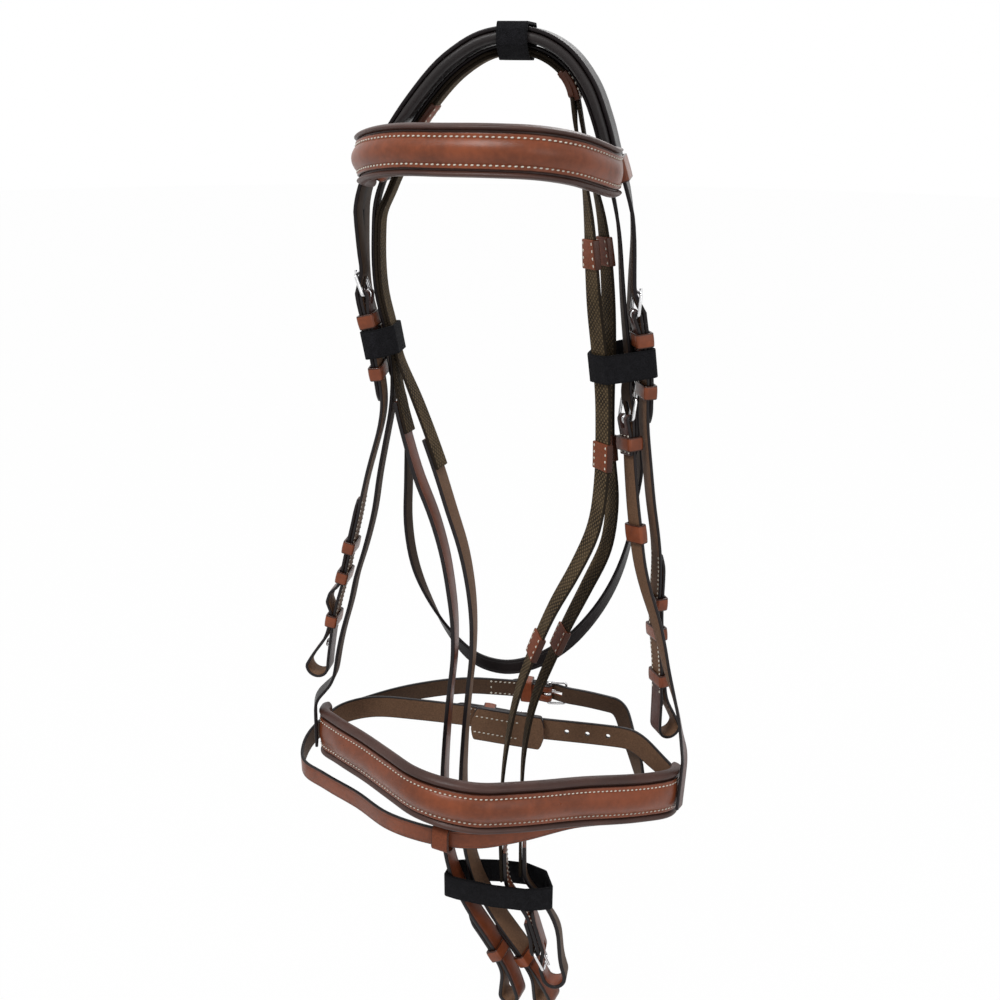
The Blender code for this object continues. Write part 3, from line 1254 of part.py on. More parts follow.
def throatlatch(arch, split_run):
    """The throatlatch: lapped on the crown's off rear strap and buckled to its near rear one.
    Returns the throatlatch, the crown's two rear straps and where the tongue comes through."""
    height = LIFT_CROWN + CROWN_THICK / 2
    off_split = off_run(arch, SPLIT_SHARE)
    branch_end = off_run(arch, BRANCH_END_SHARE)
    steps = [(branch_end, height, BRANCH_OFFSET), (off_split - BRANCH_SPREAD, height, BRANCH_OFFSET),
             (off_split, height, SPLIT_OFFSET)]
    off_branch = threaded(arch, steps)
    base, (bar, start) = lifted_base(arch, (near_run(arch, THROAT_BUCKLE_SHARE), split_run))
    seat = BuckleSeat(base, bar, -1, THROAT_THICK, THROAT_WIDTH, CROWN_THICK, THROAT_OFFSET)
    near_branch = seat.billet(THROAT_BILLET, (start, height - LIFT_BUCKLE, SPLIT_OFFSET))
    lap = arch.between(branch_end, branch_end + THROAT_LAP)
    lap = lap.lifted(LIFT_CROWN - LAYER_GAP - THROAT_THICK / 2, BRANCH_OFFSET)
    lay = carried_on(seat.chape(THROAT_BILLET + KEEPER_LENGTH), THROAT_SHARES, lap)
    strap("throatlatch", lay, THROAT_WIDTH, THROAT_THICK, "black_leather",
          slots=[seat.chape_slot()])
    seat.frame("throat_buckle")
    seat.tongue("throat_tongue")
    return (lay, THROAT_WIDTH, THROAT_THICK), off_branch, near_branch, seat.slot_on(near_branch)


def build():
    arch = arch_lay()
    poll = arch.nearest(Vector((0.0, 0.0, SEAT_LIFT)))
    splits = off_run(arch, SPLIT_SHARE), near_run(arch, SPLIT_SHARE)
    runs = [off_run(arch, share) for share in (OFF_BUCKLE_SHARE, CHEEK_LEAVE_SHARE, SPLIT_SHARE)]
    off_straps, off_billet, off_slot = cheek_side("off", arch, runs, 1, OFF_CHEEK_SHARES,
                                                  OFF_CHEEK_BOW)
    runs = [near_run(arch, share) for share in (NEAR_BUCKLE_SHARE, CHEEK_LEAVE_SHARE, SPLIT_SHARE)]
    near_straps, near_billet, near_slot = cheek_side("near", arch, runs, -1, NEAR_CHEEK_SHARES, 0.0)
    throat, off_branch, near_branch, throat_slot = throatlatch(arch, splits[1])

    height = LIFT_CROWN + CROWN_THICK / 2
    whole = arch.between(*splits)
    off_front = off_billet.turned_back()
    rails = [[off_front, whole.lifted(height, -SPLIT_OFFSET), near_billet],
             [off_branch, whole.lifted(height, SPLIT_OFFSET), near_branch]]
    off_slot = tuple(off_front.length - run for run in reversed(off_slot))
    crownpiece(rails, {(0, 0): off_slot, (0, 2): near_slot, (1, 2): throat_slot})
    crown = (whole.lifted(height), CROWN_WIDTH, CROWN_THICK)
    pad = crown_pad(arch, poll)

    nose = free_lay(NOSE_SHARES)
    padded_band("noseband", nose, NOSE_LINING_WIDTH, NOSE_LINING_THICK, NOSE_STRIP_WIDTH,
                NOSE_STRIP_THICK, NOSE_END_FLAT)
    hangers = noseband_hangers(arch, nose)
    noseband_straps(nose)
    flash(nose)
    browband(arch, [crown, hangers[0]])

    web_a, rein_a = rein("rein_a", arch, WEB_THICK / 2, WEB_A_SHARES, REIN_A_SHARES,
                         WEB_A_END_SHARE)
    web_b, rein_b = rein("rein_b", arch, LIFT_WEB_B + WEB_THICK / 2, WEB_B_SHARES, REIN_B_SHARES,
                         WEB_B_END_SHARE)
    reins = rein_a + rein_b + rein_centre(web_a, web_b)

    top = Place(Vector((0.0, 0.0, SEAT_LIFT)), Vector((1.0, 0.0, 0.0)), Vector((0.0, 0.0, 1.0)))
    tie("top_tie", top, [crown, pad, hangers[0]] + reins, floor=TIE_WALL - SEAT_LIFT)
    branches = [(off_branch, CHEEK_WIDTH, CROWN_THICK), (near_branch, CHEEK_WIDTH, CROWN_THICK)]
    sides = off_straps + near_straps + hangers + reins + branches + [throat]
    tie("left_tie", arch.at(off_run(arch, OFF_TIE_SHARE)), sides)
    tie("right_tie", arch.at(near_run(arch, NEAR_TIE_SHARE)), sides)
    spot, out = place_of(BOTTOM_TIE_SHARES)
    tie("bottom_tie", Place(spot, Vector((0.0, 0.0, -1.0)), out), reins)


if __name__ == "__main__":
    clear_scene()
    collection("english_bridle")
    collection("cutters")
    build()
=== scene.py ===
"""The looks of an english snaffle bridle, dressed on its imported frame.

Every strap is laid along the same line as in the frame, with finer sections, rounded edges and
a finish that follows it. Hand stops, stitching and holes are added here. Metres, +Z up, the
horse's face towards -Y and its near side +X.
"""
import bisect
import json
import math
from functools import cached_property

import bmesh
import bpy
from mathutils import Matrix, Vector

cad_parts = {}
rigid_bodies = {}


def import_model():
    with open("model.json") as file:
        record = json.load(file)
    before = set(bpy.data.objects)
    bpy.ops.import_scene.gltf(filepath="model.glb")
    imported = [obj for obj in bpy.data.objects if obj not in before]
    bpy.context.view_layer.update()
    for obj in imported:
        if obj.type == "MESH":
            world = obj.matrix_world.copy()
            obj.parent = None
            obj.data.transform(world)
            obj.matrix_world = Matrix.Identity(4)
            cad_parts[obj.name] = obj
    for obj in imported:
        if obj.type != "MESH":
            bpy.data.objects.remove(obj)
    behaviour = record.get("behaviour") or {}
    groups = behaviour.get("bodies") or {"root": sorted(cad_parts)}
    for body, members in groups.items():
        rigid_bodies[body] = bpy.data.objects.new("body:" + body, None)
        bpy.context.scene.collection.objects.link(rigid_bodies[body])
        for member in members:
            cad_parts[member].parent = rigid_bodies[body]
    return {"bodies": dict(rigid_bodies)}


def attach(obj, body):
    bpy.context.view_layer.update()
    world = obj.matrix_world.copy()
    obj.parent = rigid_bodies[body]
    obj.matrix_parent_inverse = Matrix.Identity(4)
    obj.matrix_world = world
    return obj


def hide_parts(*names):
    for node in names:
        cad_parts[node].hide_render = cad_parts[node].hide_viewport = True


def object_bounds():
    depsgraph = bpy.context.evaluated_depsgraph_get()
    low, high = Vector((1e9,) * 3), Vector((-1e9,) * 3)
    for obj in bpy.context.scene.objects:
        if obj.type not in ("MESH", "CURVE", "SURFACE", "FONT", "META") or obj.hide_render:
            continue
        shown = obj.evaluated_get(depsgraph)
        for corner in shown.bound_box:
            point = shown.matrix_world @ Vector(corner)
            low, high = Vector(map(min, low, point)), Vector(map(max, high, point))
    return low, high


bl_info = {
    "name": "English bridle",
    "version": (1, 0, 0),
    "blender": (4, 5, 0),
    "location": "3D View > Sidebar > Bridle",
    "description": "Dresses the packed frame of an english bridle with leather, web and steel",
    "category": "Object",
}

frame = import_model()
CAD_BOX = [list(corner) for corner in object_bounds()]

# Size of the hung bridle: the tables of places are in thousandths of these three
HEAD_WIDTH = 0.300
HEAD_REACH = 0.100
HANG_DROP = 0.500

# Play between pieces that lie against each other
LAYER_GAP = 0.0003
LAP_GAP = 0.0006
RUNNING_PLAY = 0.0002
CUT_OVERRUN = 0.002

# Leather and web straps
CHEEK_WIDTH, CHEEK_THICK = CHEEK = 0.016, 0.0022
CROWN_THICK = 0.0026
CROWN_SLIT = 0.002
CROWN_NARROW_SHARE = 0.5
CROWN_PAD_WIDTH = 0.038
CROWN_PAD_THICK = 0.0068
CROWN_PAD_EDGE = 0.0030
CROWN_PAD_LENGTH = 0.160
CROWN_PAD_TAPER = 0.012
CROWN_PAD_LEAD = 0.010
HEADSTRAP = 0.013, 0.0024
HEADSTRAP_THICK = HEADSTRAP[1]
THROAT_WIDTH, THROAT_THICK = THROAT = 0.012, 0.0024
THROAT_OFFSET = 0.018
THROAT_LAP = 0.026
BRANCH_OFFSET = 0.0115
BRANCH_SPREAD = 0.028
NOSE_STRAP = 0.019, 0.0026
NOSE_STRAP_THICK = NOSE_STRAP[1]
FLASH_WIDTH, FLASH_THICK = FLASH = 0.015, 0.0026
REIN = 0.016, 0.0030
REIN_THICK = REIN[1]
REIN_LAP = 0.024
WEB_WIDTH, WEB_THICK = WEB = 0.017, 0.0020

# Padded bands: a lining with a roll along each edge, and a raised strip sewn down its middle
BROW_LINING = 0.031, 0.0046
BROW_STRIP = 0.0235, 0.0050
BROW_END_FLAT = 0.003
BROW_LOOP_WALL = 0.0018
BROW_LOOP_LENGTH = 0.016
BROW_LOOP_DIP = 0.0042
NOSE_LINING_WIDTH, NOSE_LINING_THICK = NOSE_LINING = 0.041, 0.0060
NOSE_STRIP = 0.030, 0.0056
NOSE_END_FLAT = 0.019
BAND_END_THICK = 0.0026
BAND_TAPER = 0.030
BAND_LEAD = 0.003
STRIP_EDGE_THICK = 0.0015
STRIP_SHARE = 0.92
BAND_SEAM_SHARE = 0.74
ROLL_RISE = 0.0022

# Half sections of the padded pieces, in shares from the middle or from the roll's foot
ROLL_STEPS = (0.0, 0.10, 0.24, 0.40, 0.56, 0.70, 0.82, 0.92, 1.0)
STRIP_STEPS = (0.0, 0.12, 0.24, 0.35, 0.45, 0.53, 0.60, 0.64, 0.665, 0.68, 0.76, 0.86, 0.93, 0.97)
STRIP_CROWN_END = 0.68
STRIP_CREST = 0.75
ROLL_CREST = 0.7
PAD_STEPS = ((0.0, 1.0, 0.0), (0.5, 1.0, 0.0), (0.75, 0.99, 0.01), (0.88, 0.95, 0.04),
             (0.95, 0.86, 0.11), (0.985, 0.74, 0.22), (1.0, 0.60, 0.36))

# Buckles: a frame of bent wire whose inner bar carries the tongue and the strap's folded end
WIRE_RADIUS = 0.00115
TONGUE_RADIUS = 0.0010
BUCKLE_REACH = 0.0150
BUCKLE_RISE = 0.0030
BUCKLE_SIDE_PLAY = 0.0012
BUCKLE_CORNER = 0.0023
TONGUE_OVERHANG = 0.0020
TONGUE_SLOT = 0.0034
TONGUE_EYE_PLAY = 3 * RUNNING_PLAY
TONGUE_BEND_SHARE = 0.35
SLOT_SHARES = (0.86, 0.18)
FOLD_LENGTH = 0.026
FOLD_CLOSE = 0.012

# Keepers, hook studs and ties
KEEPER_LENGTH = 0.010
KEEPER_WALL = 0.0016
KEEPER_PLAY = 0.0004
KEEPER_CORNER = 0.0020
KEEPER_FROM_BAR = 0.0175
KEEPER_SLIDE = 0.006
KEEPER_BULGE = 0.0004
BAND_RIM = 0.0005
GATHER_LENGTH = 0.014
STUD_RADIUS = 0.0034
STUD_HEIGHT = 0.0030
STUD_NECK_RADIUS = 0.0016
STUD_SETBACK = 0.019
TIE_WIDTH = 0.020
TIE_WALL = 0.0018
TIE_PLAY = 0.0007
TIE_SAG = 0.0010
STOP_LENGTH = 0.024
STOP_SHARE = 0.82
STOP_WALL = 0.0014
TOP_STOP_WALL = 0.0009
STOP_EDGE = 0.0010

# Straps' edges and blunt tips
EDGE_SHARE = 0.36
EDGE_MOST = 0.0008
TIP_CUT = 0.62
TIP_MARKS = (0.35, 0.7, 1.0)

# Lengths along the straps
BILLET_TIP = 0.012
CHEEK_BILLET = 0.078
HEADSTRAP_BILLET = 0.028
THROAT_BILLET = 0.040
NOSE_BILLET = 0.050
FLASH_BILLET = 0.036
CENTRE_BILLET = 0.034
HOLE_PITCH = 0.017
HOLE_RADIUS = 0.0019
BIT_LOOP_RADIUS = 0.0085
BIT_LOOP_REACH = 0.034
BIT_BILLET_LENGTH = 0.112
OFF_CHEEK_BOW = 0.005
REIN_LOOP_RADIUS = 0.0075
REIN_LOOP_REACH = 0.030
REIN_BILLET_LENGTH = 0.050
CENTRE_TURN_RADIUS = 0.0085
CHIN_GUARD_LENGTH = 0.060
CHIN_GUARD_WIDTH = 0.030
CHIN_GUARD_THICK = 0.0045
GUARD_CORNER = 0.0040
FLASH_TAB_WIDTH = 0.014
FLASH_TAB_THICK = 0.0018
FLASH_TAB_RISE = 0.014
FLASH_TAB_SAG = 0.0024
HANGER_ABOVE = 0.023
HANGER_OVERLAP = 0.012

# Stitches: from a strap's edge or a hand stop's, above the leather, and the rows that close a
# fold round a bar, in shares of the fold's length. The chin guard's are in shares of the guard
SEW_INSET = 0.0021
STOP_INSET = 0.0026
SEW_LIFT = 0.0001
STITCH_SLANT = 0.16
CHEEK_SEAM = (1.55, 2.1)
NOSE_SEAM = (1.8, 2.6)
FLASH_SEAM = (1.55, 3.2)
CENTRE_SEAM_START = 1.5
HANGER_SEAM_START = 0.0025
GUARD_SEAM = (0.06, 0.62)
GUARD_SEAM_SHARE = 0.24

# Stage: the camera looks at its aim from a distance, turned round from straight in front, raised
# and rolled, and a metre at the aim is so many pixels of a picture 1000 pixels wide. A lamp has
# a name, a place, an aim, a size and a power in watts
WHITE = (1.0, 1.0, 1.0)
FLOOR_TONE = (0.86, 0.86, 0.86)
FLOOR_GLOW = 0.985
FLOOR_RADIUS = 8.0
FLOOR_BELOW = 0.09
SKY_LEVEL = 0.34
CAMERA_AIM = Vector((0.0, 0.0, -0.3))
CAMERA_TURNS = (9.32, 19.69, 0.46)
CAMERA_AWAY = 0.884
CAMERA_SCALE = 1365.8
CAMERA_SHIFT = (-0.0133, -0.0042)
LAMPS = (("key", (-0.7, -1.3, 1.6), (0.0, 0.0, -0.3), 0.7, 34.0),
         ("fill", (1.3, -1.2, 0.3), (0.0, 0.0, -0.35), 1.2, 6.0),
         ("rim", (0.3, 1.2, 0.9), (0.0, 0.0, -0.3), 0.8, 10.0))

# Fineness of bends: a new section where the strap has turned or run this far
TURN_STEP = math.radians(4.0)
RUN_STEP = 0.006
FINE_STEPS = 14
BAND_SIDES = 48
SCAN_STEP = 0.002
BUNDLE_REACH = 0.056
MERGE = 0.00002
EASE_STEP = 0.0008
EASE_REACH = 6
EASE_ROUNDS = 60
EASE_ROUNDS_FOLDED = 3
EASE_FOLD = math.radians(24.0)
SHARP_ANGLE = math.radians(55.0)
STRAP_CORNER = math.radians(50.0)
RIM_CORNER = math.radians(60.0)

# Sizes that follow from the straps
CROWN_WIDTH = 2 * CHEEK_WIDTH + CROWN_SLIT
SPLIT_OFFSET = (CHEEK_WIDTH + CROWN_SLIT) / 2
CHEEK_EYE = WIRE_RADIUS + RUNNING_PLAY + CHEEK_THICK

# Stack of layers over the poll and down both sides, from the inside out
SEAT_LIFT = TIE_WALL + TIE_PLAY + TIE_SAG
LIFT_WEB_B = WEB_THICK + LAYER_GAP
LIFT_HEADSTRAP = LIFT_WEB_B + WEB_THICK + LAYER_GAP
LIFT_PAD = LIFT_HEADSTRAP + HEADSTRAP_THICK + LAYER_GAP
LIFT_BUCKLE = LIFT_PAD + LAP_GAP
LIFT_CROWN = LIFT_PAD + max(CROWN_PAD_THICK, 2 * CHEEK_EYE) + LAYER_GAP

# Places along the arch over the poll, off side to near side: across, down, and the twist
ARCH_PLACES = (
    (-268, 431, 0), (-288, 361, 0), (-305, 317, 0), (-310, 275, 0), (-308, 233, 0), (-302, 193, 0),
    (-280, 157, 0), (-247, 123, 0), (-187, 72, 0), (-110, 24, 0), (-50, 4, 0), (0, 0, 0),
    (40, 3, 0), (78, 14, 0), (122, 43, 0), (157, 91, 0), (177, 133, 0), (197, 171, 2),
    (212, 211, 6), (226, 291, 14), (232, 325, 17), (243, 375, 21), (255, 431, 25),
)

# How far down the arch or a free run things sit, as shares of the hang drop
OFF_BUCKLE_SHARE = 0.312
NEAR_BUCKLE_SHARE = 0.334
HANGER_BUCKLE_SHARE = 0.478
THROAT_BUCKLE_SHARE = 0.466
SPLIT_SHARE = 0.205
BROW_SHARE = 0.150
OFF_TIE_SHARE = 0.378
NEAR_TIE_SHARE = 0.401
STACK_LEAVE_SHARE = 0.400
CHEEK_LEAVE_SHARE = 0.408
WEB_LEAVE_SHARE = 0.034
BRANCH_END_SHARE = 0.410
WEB_A_END_SHARE = 0.565
WEB_B_END_SHARE = 0.515
OFF_STOP_SHARE = 0.078
GATHER_SHARE = 0.645
STOPS = ((0.249, STOP_WALL), (0.529, STOP_WALL), (0.823, STOP_WALL), (0.036, TOP_STOP_WALL))

# A strap's end with a loop: its keepers back from the bend and the gap behind it, in shares of
# the loop's reach and width, and the bow of its billet, in shares of the billet
BIT_KEEPER_SHARES = (1.24, 2.38, 3.14)
LOOP_SHARES = ((0.35, 0.60), (0.70, 0.14), (1.0, 0.0))
BOW_SHARES = ((0.13, 0.0), (0.20, 1.0), (0.27, 0.9), (0.34, 0.0))

# Free runs: across, forward (minus is towards the face), down, and where the outer face looks,
# in degrees round from the near side. A place is one such row
OFF_CHEEK_PLACES = (
    (-316, -30, 479, 180), (-325, -20, 508, 180), (-341, -10, 540, 180), (-365, 0, 588, 180),
    (-380, 20, 621, 180), (-394, 30, 657, 180), (-415, 30, 707, 180), (-437, 30, 761, 180),
    (-455, 30, 795, 180), (-480, 30, 869, 180), (-489, 30, 905, 180), (-493, 30, 930, 180),
)
NEAR_CHEEK_PLACES = (
    (310, -20, 485, 25), (322, -10, 545, 25), (335, 10, 607, 26), (347, 40, 653, 27),
    (354, 80, 695, 28), (355, 110, 735, 29), (354, 120, 775, 30), (357, 120, 811, 30),
    (363, 120, 843, 30), (370, 120, 885, 30), (373, 120, 929, 30), (373, 120, 965, 30),
    (373, 120, 997, 30),
)
OFF_HANGER_PLACES = (
    (-298, 0, 481, 180), (-312, -10, 525, 180), (-332, -20, 585, 180), (-347, -30, 641, 180),
    (-358, -40, 669, 180), (-380, -50, 715, 180), (-397, -50, 745, 180), (-412, -50, 785, 180),
    (-443, -50, 849, 180), (-455, -50, 881, 180), (-470, -50, 925, 182),
)
HANGER_SEAT_PLACES = (
    (255, -60, 440, 36), (259, -80, 485, 38), (265, -100, 535, 40), (276, -120, 590, 44),
)
NEAR_HANGER_PLACES = (
    (304, -90, 645, 48), (316, -100, 690, 44), (336, -100, 735, 40), (358, -110, 772, 36),
    (378, -130, 812, 30), (396, -140, 857, 22), (412, -140, 890, 14), (427, -120, 925, 8),
    (441, -80, 975, 2),
)
THROAT_PLACES = (
    (296, 210, 610, 8), (284, 160, 675, 350), (250, 120, 745, 332), (190, 100, 810, 315),
    (125, 90, 855, 300), (50, 80, 885, 285), (-18, 70, 896, 265), (-90, 70, 888, 245),
    (-165, 70, 845, 215), (-215, 70, 795, 190), (-255, 70, 735, 172), (-272, 80, 670, 168),
    (-270, 100, 590, 168), (-272, 130, 520, 172), (-288, 150, 465, 178),
)
BROW_PLACES = (
    (-318, -420, 130, 200), (-279, -660, 119, 220), (-195, -880, 110, 240), (-95, -1000, 108, 256),
    (10, -1060, 107, 272), (100, -1020, 109, 290), (166, -850, 117, 309), (211, -600, 130, 328),
    (233, -400, 139, 344),
)
NOSE_PLACES = (
    (-513, 40, 1026, 182), (-511, -50, 1024, 194), (-455, -240, 1018, 222),
    (-355, -500, 1011, 226), (-250, -790, 1005, 228), (-190, -950, 1002, 238),
    (-110, -1060, 1001, 260), (-30, -1060, 1006, 282), (60, -940, 1014, 298),
    (200, -620, 1037, 303), (370, -260, 1064, 308), (415, -140, 1071, 322), (432, -30, 1077, 345),
    (436, 60, 1080, 356),
)
NOSE_BASE_PLACES = (
    (-330, 220, 1010, 96), (-225, 270, 1017, 93), (-130, 310, 1024, 91), (-20, 330, 1032, 90),
    (80, 330, 1036, 88), (190, 300, 1036, 82), (285, 250, 1034, 78),
)
NOSE_OFF_PLACES = ((-430, 262, 1014, 112), (-490, 185, 1023, 146))
NOSE_NEAR_PLACES = ((430, 160, 1079, 15), (385, 250, 1064, 55))
NOSE_BAR_SHARE = 0.495
FLASH_BASE_PLACES = (
    (-130, 640, 1003, 93), (-40, 650, 1003, 91), (50, 650, 1003, 89), (150, 630, 1006, 84),
    (240, 580, 1014, 76),
)
FLASH_BAR_SHARE = 0.52
FLASH_PLACES = (
    (-270, 610, 1008, 100), (-420, 510, 1030, 110), (-530, 360, 1052, 130), (-578, 160, 1074, 165),
    (-572, -60, 1090, 200), (-490, -250, 1092, 224), (-375, -490, 1088, 227),
    (-270, -760, 1082, 230), (-200, -880, 1076, 238), (-120, -955, 1072, 258),
    (-30, -935, 1073, 286), (60, -790, 1076, 300), (190, -480, 1084, 304), (300, -220, 1100, 312),
    (348, -20, 1106, 335), (352, 160, 1106, 10), (338, 300, 1098, 36), (302, 470, 1052, 58),
)
REIN_A_PLACES = (
    (-262, -10, 428, 178), (-236, -20, 465, 172), (-200, -40, 520, 170), (-170, -60, 570, 168),
    (-140, -90, 625, 168), (-108, -130, 680, 170), (-88, -160, 735, 174), (-78, -180, 795, 178),
    (-78, -210, 850, 180), (-86, -250, 910, 180), (-94, -290, 985, 178), (-96, -340, 1070, 174),
    (-84, -380, 1150, 166), (-54, -420, 1215, 160), (2, -450, 1275, 158), (68, -470, 1330, 158),
    (128, -490, 1382, 160), (165, -500, 1425, 162),
)
REIN_B_PLACES = (
    (-281, -10, 440, 178), (-268, -30, 478, 175), (-249, -50, 520, 172), (-220, -90, 575, 170),
    (-180, -130, 632, 170), (-150, -170, 690, 172), (-133, -200, 745, 174), (-123, -220, 800, 178),
    (-122, -250, 850, 180), (-130, -290, 905, 180), (-138, -330, 975, 178),
    (-143, -370, 1060, 176), (-138, -410, 1140, 172), (-116, -450, 1200, 168),
    (-72, -480, 1255, 166), (-12, -500, 1310, 166), (42, -520, 1365, 166), (75, -540, 1420, 166),
)
WEB_A_PLACES = (
    (133, -60, 86, 2), (152, -100, 137, 8), (170, -130, 200, 24), (180, -140, 262, 34),
    (190, -140, 325, 40), (203, -120, 385, 42), (213, -120, 435, 42), (218, -140, 500, 40),
    (218, -160, 570, 38), (205, -180, 635, 34), (163, -200, 700, 28), (112, -220, 762, 24),
    (74, -240, 820, 22), (34, -270, 892, 18), (8, -310, 975, 14), (-4, -360, 1060, 10),
    (-4, -420, 1130, 8), (4, -470, 1205, 6),
)
WEB_B_PLACES = (
    (146, 10, 86, 2), (164, 20, 137, 8), (192, 30, 200, 22), (207, 30, 262, 32),
    (216, 30, 325, 36), (219, 60, 385, 38), (218, 90, 440, 40), (224, 100, 530, 38),
    (240, 60, 610, 36), (232, 0, 672, 32), (188, -40, 738, 28), (142, -80, 800, 24),
    (106, -110, 855, 22), (64, -150, 930, 18), (44, -200, 1010, 14), (42, -260, 1085, 10),
    (44, -330, 1145, 8), (48, -390, 1205, 6),
)
CENTRE_BASE_PLACES = ((60, -520, 1270, 0), (82, -540, 1312, 0), (104, -560, 1354, 0))
CENTRE_B_PLACES = ((108, -440, 1240, 188), (150, -500, 1272, 182))
CENTRE_BAR_SHARE = 0.60
FLASH_LOOP_PLACE = (-120, -1060, 1001, 258)
BOTTOM_TIE_PLACE = (-30, -440, 1222, 172)


class Wire:
    """A shader value that can be used in sums: each operator adds its Math node."""

    def __init__(self, shade, socket):
        self.shade = shade
        self.socket = socket

    def maths(self, operation, *others):
        return self.shade.node("Math", {"operation": operation}, dict(enumerate((self, *others))))

    def __add__(self, other):
        return self.maths("ADD", other)

    def __mul__(self, other):
        return self.maths("MULTIPLY", other)

    def __sub__(self, other):
        return self.maths("SUBTRACT", other)

    def __rsub__(self, other):
        return self.shade.node("Math", {"operation": "SUBTRACT"}, {0: other, 1: self})

    __radd__ = __add__
    __rmul__ = __mul__

    def least(self, other):
        return self.maths("MINIMUM", other)

    def most(self, other):
        return self.maths("MAXIMUM", other)

    def size(self):
        return self.maths("ABSOLUTE")

    def wave(self):
        return self.maths("SINE")

    def step(self, low, high):
        """0 below low and 1 above high, with a soft step between; turned round if low is more."""
        if low > high:
            return 1.0 - self.step(high, low)
        return self.shade.node("MapRange", {"interpolation_type": "SMOOTHSTEP"},
                               {"Value": self, "From Min": low, "From Max": high}, "Result")

    def line(self, centre, half):
        """1 on a line at a value, falling off to 0 half a width away."""
        return (self - centre).size().step(half, 0.0)


def add_node(tree, kind, settings, values):
    """Add a node of a type: its settings first, then the values or links of its sockets."""
    made = tree.nodes.new(kind)
    for name, setting in settings.items():
        setattr(made, name, setting)
    for name, value in values.items():
        socket = made.inputs[name]
        if isinstance(value, Wire):
            value = value.socket
        if isinstance(value, bpy.types.NodeSocket):
            tree.links.new(value, socket)
        else:
            socket.default_value = (*value, 1.0) if socket.type == "RGBA" else value
    return made


class Shade:
    """The nodes of a new material, or of a world. Patterns are in metres, or follow the piece's
    own UV maps."""

    def __init__(self, name, kind="materials"):
        self.owner = getattr(bpy.data, kind).new(name)
        self.owner.use_nodes = True
        self.tree = self.owner.node_tree
        self.tree.nodes.clear()

    @cached_property
    def place(self):
        return self.node("TexCoord", take="Object")

    def node(self, kind, settings=None, values=None, take=0):
        """An output of a new node, by its number or name."""
        made = add_node(self.tree, "ShaderNode" + kind, settings or {}, values or {})
        return Wire(self, made.outputs[take])

    def noise(self, scale, detail=2.0, rough=0.5):
        return self.node("TexNoise", {}, {"Vector": self.place, "Scale": scale,
                                          "Detail": detail, "Roughness": rough})

    def cells(self, scale):
        return self.node("TexVoronoi", {}, {"Vector": self.place, "Scale": scale}, "Distance")

    def blend(self, share, one, two):
        """One colour turning into another by a share."""
        return self.node("Mix", {"data_type": "RGBA"}, {0: share, 6: one, 7: two}, 2)

    def along(self):
        """From the UV maps: distance along, side of the strap (1 is its face), distance to the
        nearer edge and distance across from the middle."""
        lay, left = (self.node("SeparateXYZ", {}, {0: self.node("UVMap", {"uv_map": name})})
                     for name in ("lay", "rim"))
        side, right = (Wire(self, wire.socket.node.outputs[1]) for wire in (lay, left))
        return lay, side, left.least(right), (right - left) * 0.5

    def seen(self):
        """1 for a ray that the eye sees straight, in metal or through glass."""
        rays = self.tree.nodes.new("ShaderNodeLightPath").outputs
        eye, metal, glass = (Wire(self, rays["Is %s Ray" % name])
                             for name in ("Camera", "Glossy", "Transmission"))
        return eye.most(metal).most(glass)

    def closed(self, shader, kind="Material"):
        """Link the last shader to the output."""
        add_node(self.tree, "ShaderNodeOutput" + kind, {}, {"Surface": shader})
        return self.owner

    def finish(self, colour, roughness, height, depth, strength, shine=0.5, metallic=0.0):
        bump = self.node("Bump", {}, {"Height": height, "Distance": depth, "Strength": strength})
        return self.closed(self.node("BsdfPrincipled", {}, {
            "Base Color": colour, "Roughness": roughness, "Metallic": metallic,
            "Specular IOR Level": shine, "Normal": bump}))


def scaled(colour, share):
    return tuple(min(value * share, 1.0) for value in colour)


def leather(name, face, edge, flesh, rough=0.42, crease=True, shine=0.4):
    """Bridle leather: mottled face with a fine grain, a creased line and dyed, burnished edges,
    and a duller fleshy back."""
    shade = Shade(name)
    run, side, rim, _ = shade.along()
    cloud = shade.noise(26.0, 3.0)
    mottle = shade.noise(210.0, 4.0, 0.6)
    grain = shade.cells(2100.0)
    pores = shade.noise(5200.0, 2.0)
    tone = (cloud - 0.5) * 1.3 + (mottle - 0.5) * 0.8 + 0.5
    colour = shade.blend(tone.step(0.1, 0.9), scaled(face, 0.70), scaled(face, 1.28))
    pull = shade.noise(90.0, 5.0, 0.7).step(0.56, 0.75)
    colour = shade.blend(pull * 0.30, colour, scaled(face, 1.7))
    back = side.step(-0.55, -0.9)
    fibre = shade.noise(900.0, 4.0, 0.7)
    rough_side = shade.blend(fibre.step(0.3, 0.7), scaled(flesh, 0.72), scaled(flesh, 1.25))
    colour = shade.blend(back, colour, rough_side)
    worn = (mottle - 0.5) * 0.0006 + rim
    edged = worn.step(0.00125, 0.00055)
    colour = shade.blend(edged, colour, edge)
    line = rim.line(0.0021, 0.0004) * (1.0 - back) if crease else rim * 0.0
    colour = shade.blend(line * 0.65, colour, scaled(face, 0.35))
    roughness = shade.noise(60.0, 3.0) * 0.16 + (rough - 0.08) + back * 0.30 - edged * 0.06
    height = grain * 0.55 + pores * 0.25 + fibre * back * 0.6 - line * 3.0
    return shade.finish(colour, roughness, height, 0.00016, 0.7, shine=shine)


